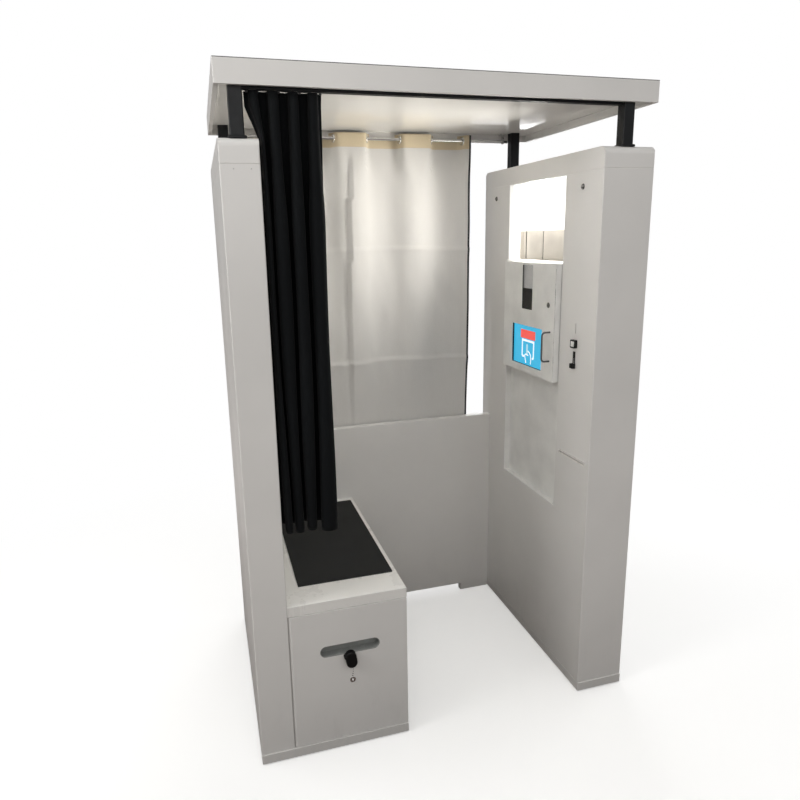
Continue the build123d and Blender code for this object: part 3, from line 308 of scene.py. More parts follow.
def ribbed_rubber(name, color):
    """A rubber mat with fine ribs along the seat, paler where it is sat on."""
    made = Finish(name, color, 0.62)
    made.set("Specular IOR Level", 0.2)
    worn = made.spread(made.noise(5, 6, 0.6), 0.35, 0.7)
    made.color(made.mixed(worn, color, shade(color, 1.7)))
    made.roughness(made.spread(worn, 0.0, 1.0, 0.55, 0.72))
    ribs = made.bands(260, "X")
    made.relief(made.plus(ribs, made.times(made.noise(700, 3), 0.5)), 0.0004, 0.8)
    return made.material


def opal(name, color, glow):
    """Opal acrylic that glows a little unevenly: lit from behind in the lamps, painted light on the window
    film and the bay lip.
    """
    made = Finish(name, color, 0.3)
    lit = made.mixed(made.spread(made.noise(9, 2), 0.3, 0.7), shade(color, 0.96), color)
    made.color(lit)
    made.link(lit, made.shader.inputs["Emission Color"])
    made.set("Emission Strength", glow)
    return made.material


def smoked_glass(name, color, cover):
    """A thin dark pane that covers part of what is behind it and keeps its gloss."""
    made = Finish(name, color, 0.04)
    made.color(made.mixed(made.spread(made.noise(8, 3), 0.35, 0.65), shade(color, 0.85), shade(color, 1.15)))
    made.set("Alpha", cover)
    made.roughness(made.spread(made.noise(30, 5), 0.4, 0.8, 0.03, 0.10))
    return made.material


def display(name, color, glow, deep=None, lit_depth=None):
    """A lit display colour behind glass. With a depth, only what lies in front of that X glows."""
    made = Finish(name, shade(color, 0.35), 0.08)
    patches = made.spread(made.noise(4, 1), 0.35, 0.65)
    lit = made.mixed(patches, deep or shade(color, 0.88), color)
    made.link(lit, made.shader.inputs["Emission Color"])
    glass = made.mixed(patches, shade(color, 0.3), shade(color, 0.38))
    made.color(glass)
    made.set("Emission Strength", glow)
    if lit_depth:
        split = made.node("SeparateXYZ")
        made.link(made.place(), split.inputs[0])
        ends = (lit_depth, lit_depth + LIT_EDGE)
        behind = made.spread(split.outputs["X"], *ends)
        made.color(made.mixed(behind, glass, PANEL_BACK))
        front = made.spread(split.outputs["X"], *ends, glow, 0.0)
        made.link(front, made.shader.inputs["Emission Strength"])
    made.roughness(made.spread(made.noise(40, 5), 0.45, 0.75, 0.06, 0.16))
    return made.material


def coated_lens(name, color):
    """Black coated glass with a violet tinge."""
    made = Finish(name, color, 0.12)
    made.set("Coat Weight", 1.0)
    made.set("Coat Roughness", 0.03)
    made.color(made.mixed(made.spread(made.noise(60, 3), 0.4, 0.6), color, (0.02, 0.016, 0.035)))
    made.relief(made.bands(900, "X"), 0.0001, 0.4)
    return made.material


SCREEN_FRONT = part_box("touchscreen_panel")[0].x
SLOT_FINISHES = {
    "laminate_white": lambda n: laminate(n, WHITE),
    "plinth_white": lambda n: laminate(n, (0.76, 0.75, 0.73), 0.4, 0.05),
    "seat_white": lambda n: laminate(n, (0.88, 0.87, 0.84), 0.28, 0.01),
    "fascia_white": lambda n: laminate(n, (0.79, 0.78, 0.76), 0.36, 0.01),
    "ceiling_gloss": lambda n: gloss_board(n, (0.86, 0.85, 0.82), 0.07),
    "roof_sheet": lambda n: roof_paint(n, (0.09, 0.09, 0.095)),
    "post_black": lambda n: powder_coat(n, (0.007, 0.008, 0.0095), 0.36, gloss=0.25),
    "runner_plastic": lambda n: plastic(n, (0.03, 0.03, 0.033), 0.5),
    "chrome_bright": lambda n: plated(n, (0.80, 0.80, 0.80), 0.09),
    "steel_zinc": lambda n: plated(n, (0.62, 0.62, 0.61), 0.28, 0.12),
    "mat_rubber": lambda n: ribbed_rubber(n, (0.013, 0.0135, 0.0135)),
    "unit_white": lambda n: powder_coat(n, (0.86, 0.86, 0.84), 0.36),
    "bay_cream": lambda n: powder_coat(n, (0.70, 0.665, 0.61), 0.5),
    "diffuser_opal": lambda n: opal(n, (1.0, 0.99, 0.97), 1.3),
    "led_bar": lambda n: opal(n, (1.0, 0.96, 0.88), 0.35),
    "window_glass": lambda n: smoked_glass(n, (0.06, 0.06, 0.06), 0.16),
    "screen_glass": lambda n: display(n, (0.045, 0.46, 0.74), 0.95, lit_depth=SCREEN_FRONT + 0.0005),
    "trim_black": lambda n: plastic(n, (0.006, 0.006, 0.0065), 0.36, 0.00006, 0.15, 0.22),
    "lens_black": lambda n: coated_lens(n, (0.008, 0.008, 0.011)),
    "button_white": lambda n: plastic(n, (0.88, 0.88, 0.86), 0.24, 0.00003, 0.0),
    "handle_dark": lambda n: powder_coat(n, (0.10, 0.10, 0.105), 0.3, 0.00005),
    "cup_grey": lambda n: plastic(n, (0.30, 0.31, 0.30), 0.5),
    "slot_lip": lambda n: plastic(n, (0.82, 0.80, 0.77), 0.3, 0.00004, 0.0),
    "equipment_grey": lambda n: plastic(n, (0.20, 0.20, 0.21), 0.5),
    "carriage_alloy": lambda n: plated(n, (0.6, 0.6, 0.62), 0.32, 0.05, (1, 1, 0.05)),
    "foot_rubber": lambda n: plastic(n, (0.02, 0.02, 0.02), 0.7, 0.0002),
}
DARK_CHROME = plated("dark_chrome_finish", (0.20, 0.195, 0.19), 0.16)
DARK_CHROME_NODES = ("unit_lock", "dome_bolts")
REPLACED_SLOTS = ("curtain_black", "curtain_white")
FINISHES = {slot: make(slot + "_finish") for slot, make in SLOT_FINISHES.items()}
BLACK_CLOTH = cloth("curtain_black_cloth", (0.0042, 0.0052, 0.0062), (0.011, 0.013, 0.015), 0.02, gloss=0.15)
LINING_CLOTH = cloth("curtain_lining_cloth", LINING, shade(LINING, 0.9))
WHITE_CLOTH = cloth("curtain_white_cloth", (0.72, 0.71, 0.69), (0.64, 0.63, 0.61), 0.15)
HEADER_CLOTH = cloth("curtain_header_tape", CREAM, shade(CREAM, 0.9), 0.2, 0.0014)
BACKING_CLOTH = cloth("curtain_backing_cloth", (0.016, 0.018, 0.020), (0.03, 0.033, 0.036), 0.08)


def dress_cad_nodes():
    """Gives every CAD node the finish of its slot in the record."""
    for part in frame["record"]["subparts"]:
        slot = part["material_slot"]
        if slot in REPLACED_SLOTS:
            continue
        piece = frame["nodes"][part["node"]]
        finish = DARK_CHROME if part["node"] in DARK_CHROME_NODES else FINISHES[slot]
        if not piece.material_slots:
            piece.data.materials.append(finish)
        for holder in piece.material_slots:
            holder.material = finish


# ------------------------------------ mesh tools
def new_piece(name, points, faces, materials, smooth=True):
    """A mesh object from points and faces. A face is (corner indices, material index)."""
    mesh = bpy.data.meshes.new(name)
    mesh.from_pydata(points, [], [corners for corners, _ in faces])
    for material in materials:
        mesh.materials.append(material)
    for polygon, (_, index) in zip(mesh.polygons, faces):
        polygon.material_index = index
        polygon.use_smooth = smooth
    mesh.update()
    piece = bpy.data.objects.new(name, mesh)
    bpy.context.scene.collection.objects.link(piece)
    return piece


def apply_modifiers(piece):
    """Replaces the mesh by what its modifiers make of it."""
    bpy.context.view_layer.update()
    shown = piece.evaluated_get(bpy.context.evaluated_depsgraph_get())
    made = bpy.data.meshes.new_from_object(shown)
    piece.modifiers.clear()
    piece.data = made


def grid_faces(columns, rows, material_of=lambda column, row: 0):
    """The faces of a grid whose points run along columns first."""
    faces = []
    for row in range(rows):
        for column in range(columns):
            corner = row * (columns + 1) + column
            quad = (corner, corner + columns + 1, corner + columns + 2, corner + 1)
            faces.append((quad, material_of(column, row)))
    return faces


def lathed(name, profile, material, at, towards, sides=40):
    """A turned piece. The profile is (radius, distance along the axis) from one end to the other."""
    points, faces = [], []
    for radius, along in profile:
        for k in range(sides):
            angle = 2 * math.pi * k / sides
            points.append((radius * math.cos(angle), radius * math.sin(angle), along))
    for ring in range(len(profile) - 1):
        for k in range(sides):
            low, high = ring * sides, (ring + 1) * sides
            after = (k + 1) % sides
            faces.append(((low + k, low + after, high + after, high + k), 0))
    piece = new_piece(name, points, faces, [material])
    turn = Vector(towards).to_track_quat("Z", "Y").to_matrix().to_4x4()
    piece.data.transform(Matrix.Translation(at) @ turn)
    return piece


def prism(name, outline, thickness, material, to_world, bevel=0.0):
    """A flat plate from an outline of (across, up), put in place by to_world(across, up, out)."""
    count = len(outline)
    points = [to_world(a, b, 0.0) for a, b in outline] + [to_world(a, b, thickness) for a, b in outline]
    faces = [(tuple(range(count)), 0), (tuple(reversed(range(count, 2 * count))), 0)]
    for k in range(count):
        after = (k + 1) % count
        faces.append(((k, k + count, after + count, after), 0))
    piece = new_piece(name, points, faces, [material], smooth=False)
    if bevel:
        edge = piece.modifiers.new("edge", "BEVEL")
        edge.width = bevel
        edge.segments = 3
        edge.limit_method = "ANGLE"
        apply_modifiers(piece)
    return piece


def rounded(width, height, radius, centre=(0, 0), steps=6):
    """The outline of a rectangle with round corners."""
    outline = []
    corners = ((1, 1, 0), (-1, 1, 90), (-1, -1, 180), (1, -1, 270))
    for side, up, start in corners:
        for k in range(steps + 1):
            angle = math.radians(start + 90 * k / steps)
            across = side * (width / 2 - radius) + radius * math.cos(angle)
            above = up * (height / 2 - radius) + radius * math.sin(angle)
            outline.append((centre[0] + across, centre[1] + above))
    return outline


def smoothstep(low, high, value):
    t = min(1.0, max(0.0, (value - low) / (high - low)))
    return t * t * (3 - 2 * t)


def between(a, b, t):
    return a + (b - a) * t


def soft_noise(x, y, z=0.0):
    return noise.noise(Vector((x, y, z)))


# ------------------------------------ camera, floor and light
def make_camera():
    """The camera, turned by yaw, then pitch, then roll."""
    camera = bpy.data.cameras.new("camera")
    camera.lens = CAMERA_LENS
    camera.shift_x, camera.shift_y = CAMERA_SHIFT
    piece = bpy.data.objects.new("camera", camera)
    yaw, pitch, roll = (math.radians(a) for a in (CAMERA_YAW, CAMERA_PITCH, CAMERA_ROLL))
    forward = Vector((math.sin(yaw) * math.cos(pitch), math.cos(yaw) * math.cos(pitch), math.sin(pitch)))
    right = Vector((math.cos(yaw), -math.sin(yaw), 0))
    up = right.cross(forward)
    rolled_right = right * math.cos(roll) + up * math.sin(roll)
    rolled_up = up * math.cos(roll) - right * math.sin(roll)
    turn = Matrix((rolled_right, rolled_up, -forward)).transposed().to_4x4()
    piece.matrix_world = Matrix.Translation(CAMERA_AT) @ turn
    bpy.context.scene.collection.objects.link(piece)
    bpy.context.scene.camera = piece


def make_floor():
    """A pale floor that fades to plain white away from the booth and throws little light back at it."""
    made = Finish("studio_floor", FLOOR_PALE, 0.8)
    made.set("Specular IOR Level", 0.1)
    made.set("Emission Color", (1.0, 1.0, 1.0, 1.0))
    made.set("Emission Strength", FLOOR_LIFT)
    coords = made.place()
    distance = made.node("VectorMath", operation="LENGTH")
    made.link(coords, distance.inputs[0])
    away = made.spread(distance.outputs["Value"], FLOOR_WHITE_FROM, FLOOR_WHITE_TO)
    white = made.node("Emission")
    seen = made.node("MixShader")
    made.link(away, seen.inputs[0])
    made.link(made.shader.outputs[0], seen.inputs[1])
    made.link(white.outputs[0], seen.inputs[2])
    dull = made.node("BsdfDiffuse")
    far_off = made.spread(distance.outputs["Value"], *FLOOR_NEAR_TO)
    made.link(made.mixed(far_off, FLOOR_NEAR, FLOOR_FAR), dull.inputs["Color"])
    path = made.node("LightPath")
    lit = made.node("MixShader")
    made.link(path.outputs["Is Camera Ray"], lit.inputs[0])
    made.link(dull.outputs[0], lit.inputs[1])
    made.link(seen.outputs[0], lit.inputs[2])
    made.link(lit.outputs[0], made.tree.nodes["Material Output"].inputs["Surface"])
    reach = FLOOR_REACH
    corners = [(-reach, -reach, 0), (reach, -reach, 0), (reach, reach, 0), (-reach, reach, 0)]
    new_piece("floor", corners, [((0, 1, 2, 3), 0)], [made.material], smooth=False)


def make_world():
    """White where the camera looks past the booth, softer where it lights it."""
    world = bpy.data.worlds.new("studio")
    world.use_nodes = True
    bpy.context.scene.world = world
    tree = world.node_tree
    lighting = tree.nodes["Background"]
    lighting.inputs["Color"].default_value = (1.0, 0.99, 0.975, 1.0)
    coords = tree.nodes.new("ShaderNodeTexCoord")
    split = tree.nodes.new("ShaderNodeSeparateXYZ")
    tree.links.new(coords.outputs["Generated"], split.inputs[0])
    shares = []
    for axis, ends in (("Z", (*SKY_RISE, SKY_LOW, SKY_HIGH)), ("Y", (*SKY_DEPTH, SKY_FRONT, SKY_REAR))):
        share = tree.nodes.new("ShaderNodeMapRange")
        for socket, number in zip(share.inputs[1:5], ends):
            socket.default_value = number
        tree.links.new(split.outputs[axis], share.inputs[0])
        shares.append(share.outputs[0])
    strength = tree.nodes.new("ShaderNodeMath")
    strength.operation = "MULTIPLY"
    for share, into in zip(shares, strength.inputs):
        tree.links.new(share, into)
    tree.links.new(strength.outputs[0], lighting.inputs["Strength"])
    seen = tree.nodes.new("ShaderNodeBackground")
    seen.inputs["Color"].default_value = (1.0, 1.0, 1.0, 1.0)
    path = tree.nodes.new("ShaderNodeLightPath")
    blend = tree.nodes.new("ShaderNodeMixShader")
    tree.links.new(path.outputs["Is Camera Ray"], blend.inputs[0])
    tree.links.new(lighting.outputs[0], blend.inputs[1])
    tree.links.new(seen.outputs[0], blend.inputs[2])
    tree.links.new(blend.outputs[0], tree.nodes["World Output"].inputs["Surface"])


def area_light(name, at, towards, size, power, color=(1, 1, 1), spread=180):
    light = bpy.data.lights.new(name, "AREA")
    light.shape = "RECTANGLE"
    light.size, light.size_y = size
    light.energy = power
    light.color = color
    light.spread = math.radians(spread)
    piece = bpy.data.objects.new(name, light)
    piece.matrix_world = Matrix.Translation(at) @ (
        (Vector(towards) - Vector(at)).to_track_quat("-Z", "Y").to_matrix().to_4x4()
    )
    piece.visible_camera = False
    bpy.context.scene.collection.objects.link(piece)


def make_lights():
    for light in STUDIO_LIGHTS:
        area_light(*light)
    low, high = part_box("light_diffuser")
    centre = (low + high) / 2
    glow_at = Vector((low.x - PANEL_GLOW_OUT, centre.y, high.z - PANEL_GLOW_DOWN))
    into_booth = glow_at - Vector((1, 0, 0))
    area_light("panel_glow", glow_at, into_booth, PANEL_GLOW_SIZE, PANEL_GLOW_POWER, PANEL_GLOW_COLOR,
               PANEL_GLOW_SPREAD)


make_camera()
make_floor()
make_world()
make_lights()
dress_cad_nodes()
bpy.context.scene.view_settings.view_transform = "Standard"

# ------------------------------------ the drawn path of a pleat
PATH_STEPS = 40


def meander(turn):
    """One pleat seen from above, as a river bends: (across, out) from 0 to 1, out at the middle.

    The heading swings to turn radians to each side, so the cloth doubles back on itself."""
    x = y = 0.0
    path = [(0.0, 0.0)]
    for k in range(PATH_STEPS):
        heading = turn * math.sin(2 * math.pi * (k + 0.5) / PATH_STEPS)
        x += math.cos(heading)
        y += math.sin(heading)
        path.append((x, y))
    furthest = max(p[1] for p in path)
    return [(px / x, py / furthest) for px, py in path]


# ------------------------------------ front curtain
CLOTH_THICK = 0.0014
FRONT_ROWS = 110
HEM_HIGH = 0.034
STITCH_STEP = 0.0011
STITCH_HALF = 0.0006
STITCH_PRESS = 0.0007
# The X of the pleats' edges at the rail and at the hem.
TOP_EDGES = (-0.553, -0.508, -0.457, -0.407, -0.357)
HEM_EDGES = (-0.514, -0.4905, -0.4545, -0.4150, -0.3560)
# How far a pleat stands out at the rail and just below it, and how much lower its hem hangs.
RAIL_OUT = 0.024
TOP_OUT = 0.046
HEM_DROP = (0.004, 0.0, 0.003, -0.004)
# Shares of the way down: where the cloth leaves the rail, settles into pleats, and starts its hem.
LEAVES_RAIL = (0.0, 0.03)
SETTLES = (0.02, 0.28)
NEAR_HEM = (0.8, 1.0)
# How far a pleat's path swings, in radians, at the rail and once it has settled.
PLEAT_TURN = (1.62, 2.0)
PLEAT_CLEAR = 0.012
EDGE_DRIFT = 0.0022
EDGE_POWER = 0.9
DEPTH_VARIES = 0.05
RIPPLE = 0.0011
# The cloth's gap to the left wall, and how far it reaches out over the wall's cap.
WALL_GAP = 0.006
OVER_CAP = 0.038
CAP_ROUND = 0.02
# Where the start and end points lie, in from the cloth's edges.
GATHER_IN = (0.012, 0.004)


def front_rows(top, bottom):
    """The heights of the cloth's rows, closer together at the hem's stitching."""
    plain = [between(top, bottom, k / FRONT_ROWS) for k in range(FRONT_ROWS + 1)]
    stitched = [bottom + HEM_HIGH + k * STITCH_STEP for k in range(-2, 3)]
    return sorted(plain + stitched, reverse=True)


def make_front_curtain():
    """Gathered black cloth with a white lining, in four deep pleats that widen towards the right."""
    low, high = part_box("front_curtain")
    rail_low, rail_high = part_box("front_curtain_rail")
    cap_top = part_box("left_wall_cap")[1].z
    inner_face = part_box("left_wall_shell")[1].x
    top = rail_low.z - 0.001
    bottom = low.z
    deep_back = high.y - PLEAT_CLEAR / 2
    rail_y = (rail_low.y + rail_high.y) / 2
    pleats = len(HEM_EDGES) - 1
    heights = front_rows(top, bottom)
    points = []
    for z in heights:
        down = (top - z) / (top - bottom)
        settle = smoothstep(*SETTLES, down)
        path = meander(between(*PLEAT_TURN, settle))
        top_out = between(RAIL_OUT, TOP_OUT, smoothstep(*LEAVES_RAIL, down))
        out = between(top_out, high.y - low.y - PLEAT_CLEAR, settle)
        back = between(rail_y + top_out / 2, deep_back, settle)
        edges = []
        for k in range(pleats + 1):
            drift = EDGE_DRIFT * math.sin(7.0 * z + 2.1 * k) * settle
            edge = between(TOP_EDGES[k], HEM_EDGES[k], down ** EDGE_POWER) + drift
            reach = inner_face + WALL_GAP - OVER_CAP * smoothstep(cap_top - CAP_ROUND, top, z)
            edges.append(max(edge, reach) if k == 0 else edge)
        for k in range(pleats):
            wide = edges[k + 1] - edges[k]
            deep = out * (1 + DEPTH_VARIES * math.sin(3.1 * z + 1.7 * k))
            drop = HEM_DROP[k] * smoothstep(*NEAR_HEM, down)
            for across, forward in path[: PATH_STEPS + (k == pleats - 1)]:
                x = edges[k] + wide * across
                y = back - deep * forward
                ripple = RIPPLE * soft_noise(60 * x + 3 * k, 42 * y, 2.2 * z)
                pressed = -STITCH_PRESS if abs(z - bottom - HEM_HIGH) < STITCH_HALF else 0.0
                y += ripple + pressed
                x += 0.8 * ripple
                points.append((x, y, z + drop * (0.6 + 0.4 * forward)))
    columns = pleats * PATH_STEPS
    faces = grid_faces(columns, len(heights) - 1)
    piece = new_piece("front_curtain_cloth", points, faces, [BLACK_CLOTH, LINING_CLOTH])
    shell = piece.modifiers.new("cloth", "SOLIDIFY")
    shell.thickness = CLOTH_THICK
    shell.offset = -1
    shell.material_offset = 1
    shell.use_even_offset = True
    apply_modifiers(piece)
    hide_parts("front_curtain")
    start = Vector((TOP_EDGES[0] + GATHER_IN[0], 0, 0))
    end = Vector((TOP_EDGES[-1] - GATHER_IN[1], 0, 0))
    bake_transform(piece)
    return start.x, end.x


# ------------------------------------ pieces that share out along a rail
GLIDERS = 8
GLIDER_SIDES = 16
GLIDER_SQUARE = 0.6
GLIDER_END = 0.007


def share_out(piece, start, end):
    """Bakes the piece's placement into its mesh."""
    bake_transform(piece)


def glider(name, x, rail_low, rail_high):
    """A nylon glider: a waisted block in the rail, a neck through the slit and a hook eye."""
    centre_y = (rail_low.y + rail_high.y) / 2
    half, head_low, head_high = 0.0055, rail_low.z + 0.004, rail_low.z + 0.013
    # Each level from the top down: its height, half its length and half its width.
    levels = (
        (head_high, 0.0055, half * 0.8), (head_high - 0.0015, 0.007, half),
        (head_low + 0.0015, 0.007, half), (head_low, 0.0055, half * 0.8),
        (head_low - 0.001, 0.003, 0.0015), (rail_low.z - 0.002, 0.003, 0.0015),
        (rail_low.z - 0.0035, 0.0042, 0.002), (rail_low.z - 0.006, 0.0030, 0.0016),
    )
    points, faces = [], []
    sides = GLIDER_SIDES
    for z, long, wide in levels:
        for k in range(sides):
            angle = 2 * math.pi * (k + 0.5) / sides
            squared = max(abs(math.cos(angle)), abs(math.sin(angle))) ** GLIDER_SQUARE
            along, across = long * math.cos(angle) / squared, wide * math.sin(angle) / squared
            points.append((x + along, centre_y + across, z))
    for ring in range(len(levels) - 1):
        for k in range(sides):
            here, below, after = ring * sides, (ring + 1) * sides, (k + 1) % sides
            faces.append(((here + k, below + k, below + after, here + after), 0))
    faces.append((tuple(range(sides)), 0))
    faces.append((tuple(reversed(range((len(levels) - 1) * sides, len(levels) * sides))), 0))
    return new_piece(name, points, faces, [FINISHES["runner_plastic"]])


def make_gliders(start, end):
    """A row of gliders in the rail."""
    rail_low, rail_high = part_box("front_curtain_rail")
    low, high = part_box("front_runners")
    for k in range(GLIDERS):
        x = between(low.x + GLIDER_END, high.x - GLIDER_END, k / (GLIDERS - 1))
        piece = glider(f"curtain_glider_{k + 1}", x, rail_low, rail_high)
        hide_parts("front_runners")
        share_out(piece, start, end)


# ------------------------------------ rear curtain
REAR_ROWS = 160
STEPS_PER_EYELET = 22
HEADER_HIGH = 0.050
HEADER_TOP = 0.019
LINING_SHOWS = 0.013
HEADER_SWING = 0.019
HANG_SWING = 0.020
HANG_LOSS = 0.62
EYELET_PITCH = 0.128
EYELET_HALF = 0.0015
SEAM_HALF = 0.0006
TAPE_PROUD = 0.0007
# The header's flat-topped folds soften over this share of the way down, from one sharpness to another.
HEADER_SOFTENS = (0.02, 0.14)
FOLD_SHARPNESS = (0.9, 5.5)
# Each pressed line across the cloth: its height and its depth. It fades faster above than below.
CREASES = ((1.509, 0.0070), (1.066, 0.0090))
CREASE_ABOVE = 0.004
CREASE_BELOW = 0.030
# The upright fold: its X at the top and low down, the way between, and each side's depth and width.
FOLD_X = (-0.116, -0.139)
FOLD_RUN = 0.6
FOLD_LEFT = (0.010, 0.030)
FOLD_RIGHT = (0.004, 0.05)
# Behind the back wall the cloth hangs closer to it and swings less.
BEHIND_FROM = 0.35
BEHIND_GAP = 0.0045
BEHIND_LEAST = 0.004
BEHIND_SWING = 0.35
# Where the start and end points lie, in from the cloth's edges.
SLIDE_IN = (0.006, 0.020)


def eyelet_places():
    """The X of each eyelet, from the CAD eyelets' own box."""
    low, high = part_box("rear_eyelets")
    first, last = low.x + EYELET_HALF, high.x - EYELET_HALF
    count = round((last - first) / EYELET_PITCH) + 1
    return [between(first, last, k / (count - 1)) for k in range(count)]


def rear_columns(low_x, high_x, eyelets):
    """The X of each column of the cloth, closer together at the eyelets."""
    stops = [low_x, *eyelets, high_x]
    columns = [low_x]
    for left, right in zip(stops, stops[1:]):
        steps = max(6, round(STEPS_PER_EYELET * (right - left) / EYELET_PITCH))
        for k in range(1, steps + 1):
            columns.append(between(left, right, 0.5 - 0.5 * math.cos(math.pi * k / steps)))
    return columns


def rear_swing(x, z, eyelets, top, bottom):
    """How far the cloth stands in front of (-) or behind (+) the rod's line."""
    down = (top - z) / (top - bottom)
    phase = math.pi * (x - eyelets[-1]) / EYELET_PITCH
    wave = -math.sin(phase)
    header = 1.0 - smoothstep(*HEADER_SOFTENS, down)
    sharp = between(*FOLD_SHARPNESS, header)
    squared = math.tanh(sharp * wave) / math.tanh(sharp)
    swing = between(HANG_SWING * (1 - HANG_LOSS * down), HEADER_SWING, header)
    return swing * squared


def rear_wrinkles(x, z):
    """Small creases: two pressed lines across the cloth, soft crumple and slanting ripples."""
    across = 0.0
    for height, depth in CREASES:
        line = height + 0.004 * math.sin(9 * x + height)
        reach = CREASE_ABOVE if z > line else CREASE_BELOW
        across += depth * math.exp(-abs(z - line) / reach) * (0.75 + 0.5 * soft_noise(5 * x, height * 3))
    crumple = 0.0034 * soft_noise(7 * x + 0.8 * z, 1.3 * z, 4.0) + 0.0016 * soft_noise(24 * x, 9 * z, 1.0)
    slant = 0.0030 * soft_noise(16 * (x + 0.5 * z), 4 * (z - 0.5 * x), 9.0)
    return -across + crumple + slant


def upright_fold(x, z, top):
    """The sharp upright fold: a ridge that fades to the left and a dip that fades to the right."""
    past = x - between(*FOLD_X, min(1.0, (top - z) / FOLD_RUN))
    if past < 0:
        return FOLD_LEFT[0] * math.exp(past / FOLD_LEFT[1])
    return -FOLD_RIGHT[0] * math.exp(-past / FOLD_RIGHT[1])


def make_rear_curtain():
    """White cloth with a cream header on a rod, black behind, one sharp fold left of the middle."""
    low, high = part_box("rear_curtain")
    rod_low, rod_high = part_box("rear_curtain_rod")
    rod = (rod_low + rod_high) / 2
    wall_rear, wall_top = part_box("back_wall_panel")[1].yz
    top, bottom = rod.z + HEADER_TOP, low.z
    eyelets = eyelet_places()
    columns = rear_columns(low.x, high.x, eyelets)
    heights = [between(top, bottom, k / REAR_ROWS) for k in range(REAR_ROWS + 1)]
    header_line = top - HEADER_HIGH
    heights = sorted(heights + [header_line - SEAM_HALF, header_line + SEAM_HALF], reverse=True)
    points = []
    for z in heights:
        behind_wall = 1.0 - smoothstep(wall_top - 0.01, wall_top + BEHIND_FROM, z)
        for x in columns:
            y = rod.y + rear_swing(x, z, eyelets, top, bottom)
            y += rear_wrinkles(x, z) * smoothstep(0.0, 0.08, header_line - z)
            y += upright_fold(x, z, top) * smoothstep(0.0, 0.10, header_line - z)
            hang = wall_rear + BEHIND_GAP + BEHIND_SWING * (y - rod.y + HANG_SWING)
            y = between(y, max(hang, wall_rear + BEHIND_LEAST), behind_wall)
            if z > header_line:
                y -= TAPE_PROUD
            points.append((x, y, z))
    last = len(columns) - 1
    edge_from = high.x - LINING_SHOWS

    def cloth_of(column, row):
        if columns[column] >= edge_from - 0.0005:
            return 2
        return 1 if heights[row] > header_line else 0

    faces = grid_faces(last, len(heights) - 1, cloth_of)
    materials = [WHITE_CLOTH, HEADER_CLOTH] + [BACKING_CLOTH] * 4
    piece = new_piece("rear_curtain_cloth", points, faces, materials)
    shell = piece.modifiers.new("cloth", "SOLIDIFY")
    shell.thickness = CLOTH_THICK
    shell.offset = -1
    shell.material_offset = 3
    apply_modifiers(piece)
    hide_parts("rear_curtain")
    start, end = low.x + SLIDE_IN[0], high.x - SLIDE_IN[1]
    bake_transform(piece)
    return eyelets, start, end


# Half of the ring's section, as (radius, distance along the rod), from its bore to its rim.
EYELET_SIDE = ((0.0093, 0.0024), (0.0110, 0.0032), (0.0132, 0.0030), (0.0150, 0.0020), (0.0158, 0.0004))
EYELET_BORE = (0.0088, 0.0010)
EYELET_LEAN = 0.22
EYELET_DROP = 0.0015


def make_eyelets(eyelets, start, end):
    """Pressed rings round the rod, each turned with the cloth that crosses it."""
    rod_low, rod_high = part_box("rear_curtain_rod")
    rod = (rod_low + rod_high) / 2
    far_side = [(radius, -along) for radius, along in EYELET_SIDE[::-1]]
    bore = [(EYELET_BORE[0], -EYELET_BORE[1]), EYELET_BORE]
    profile = [far_side[-1], *bore, *EYELET_SIDE, *far_side]
    for k, x in enumerate(eyelets):
        at = Vector((x, rod.y, rod.z - EYELET_DROP))
        lean = -1 if k % 2 else 1
        towards = (1, EYELET_LEAN * lean, 0)
        piece = lathed(f"rear_eyelet_{k + 1}", profile, FINISHES["chrome_bright"], at, towards)
        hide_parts("rear_eyelets")
        share_out(piece, start, end)


# ------------------------------------ display, window film, lit bay
SCREEN_WHITE = display("screen_white", (0.86, 0.95, 1.0), 0.95, (0.80, 0.93, 1.0))
SCREEN_RED = display("screen_red", (0.92, 0.11, 0.09), 0.95)
SCREEN_PALE = display("screen_pale", (0.45, 0.76, 0.90), 0.85)
# The picture, in metres from the display's centre: across to the user's right, and up.
PRINT_THICK = 0.0004
HAND_THICK = 0.0005
BAR_SIZE, BAR_AT = (0.107, 0.032), (-0.002, 0.040)
FRAME_SIZE, FRAME_AT = (0.084, 0.060), (0.0, -0.013)
FRAME_WIDE = 0.0075
FRAME_FEET = (0.016, 0.010)
FINGER_SIZE = (0.013, 0.044)
HAND_WIDE = 0.0048
THUMB = ((0.000, -0.020), (0.012, -0.024), (0.022, -0.034), (0.024, -0.052), (0.022, -0.066))
PALM = ((0.004, -0.036), (-0.012, -0.033), (-0.022, -0.038), (-0.018, -0.052), (-0.012, -0.066))


def screen_point(low, high):
    """Carries (across, up) from the display's centre, as its user sees it, into the booth."""
    centre = (low + high) / 2

    def to_world(across, up, out):
        return (low.x - 0.0002 - out, centre.y - across, centre.z + up)

    return to_world


def stroke(name, line, wide, material, to_world, layer=PRINT_THICK):
    """A flat line of even width along a few points."""
    left, right = [], []
    path = [Vector(p) for p in line]
    for k, point in enumerate(path):
        before, after = path[max(0, k - 1)], path[min(len(path) - 1, k + 1)]
        along = (after - before).normalized()
        side = Vector((-along.y, along.x)) * wide / 2
        left.append(tuple(point + side))
        right.append(tuple(point - side))
    return prism(name, left + right[::-1], layer, material, to_world)


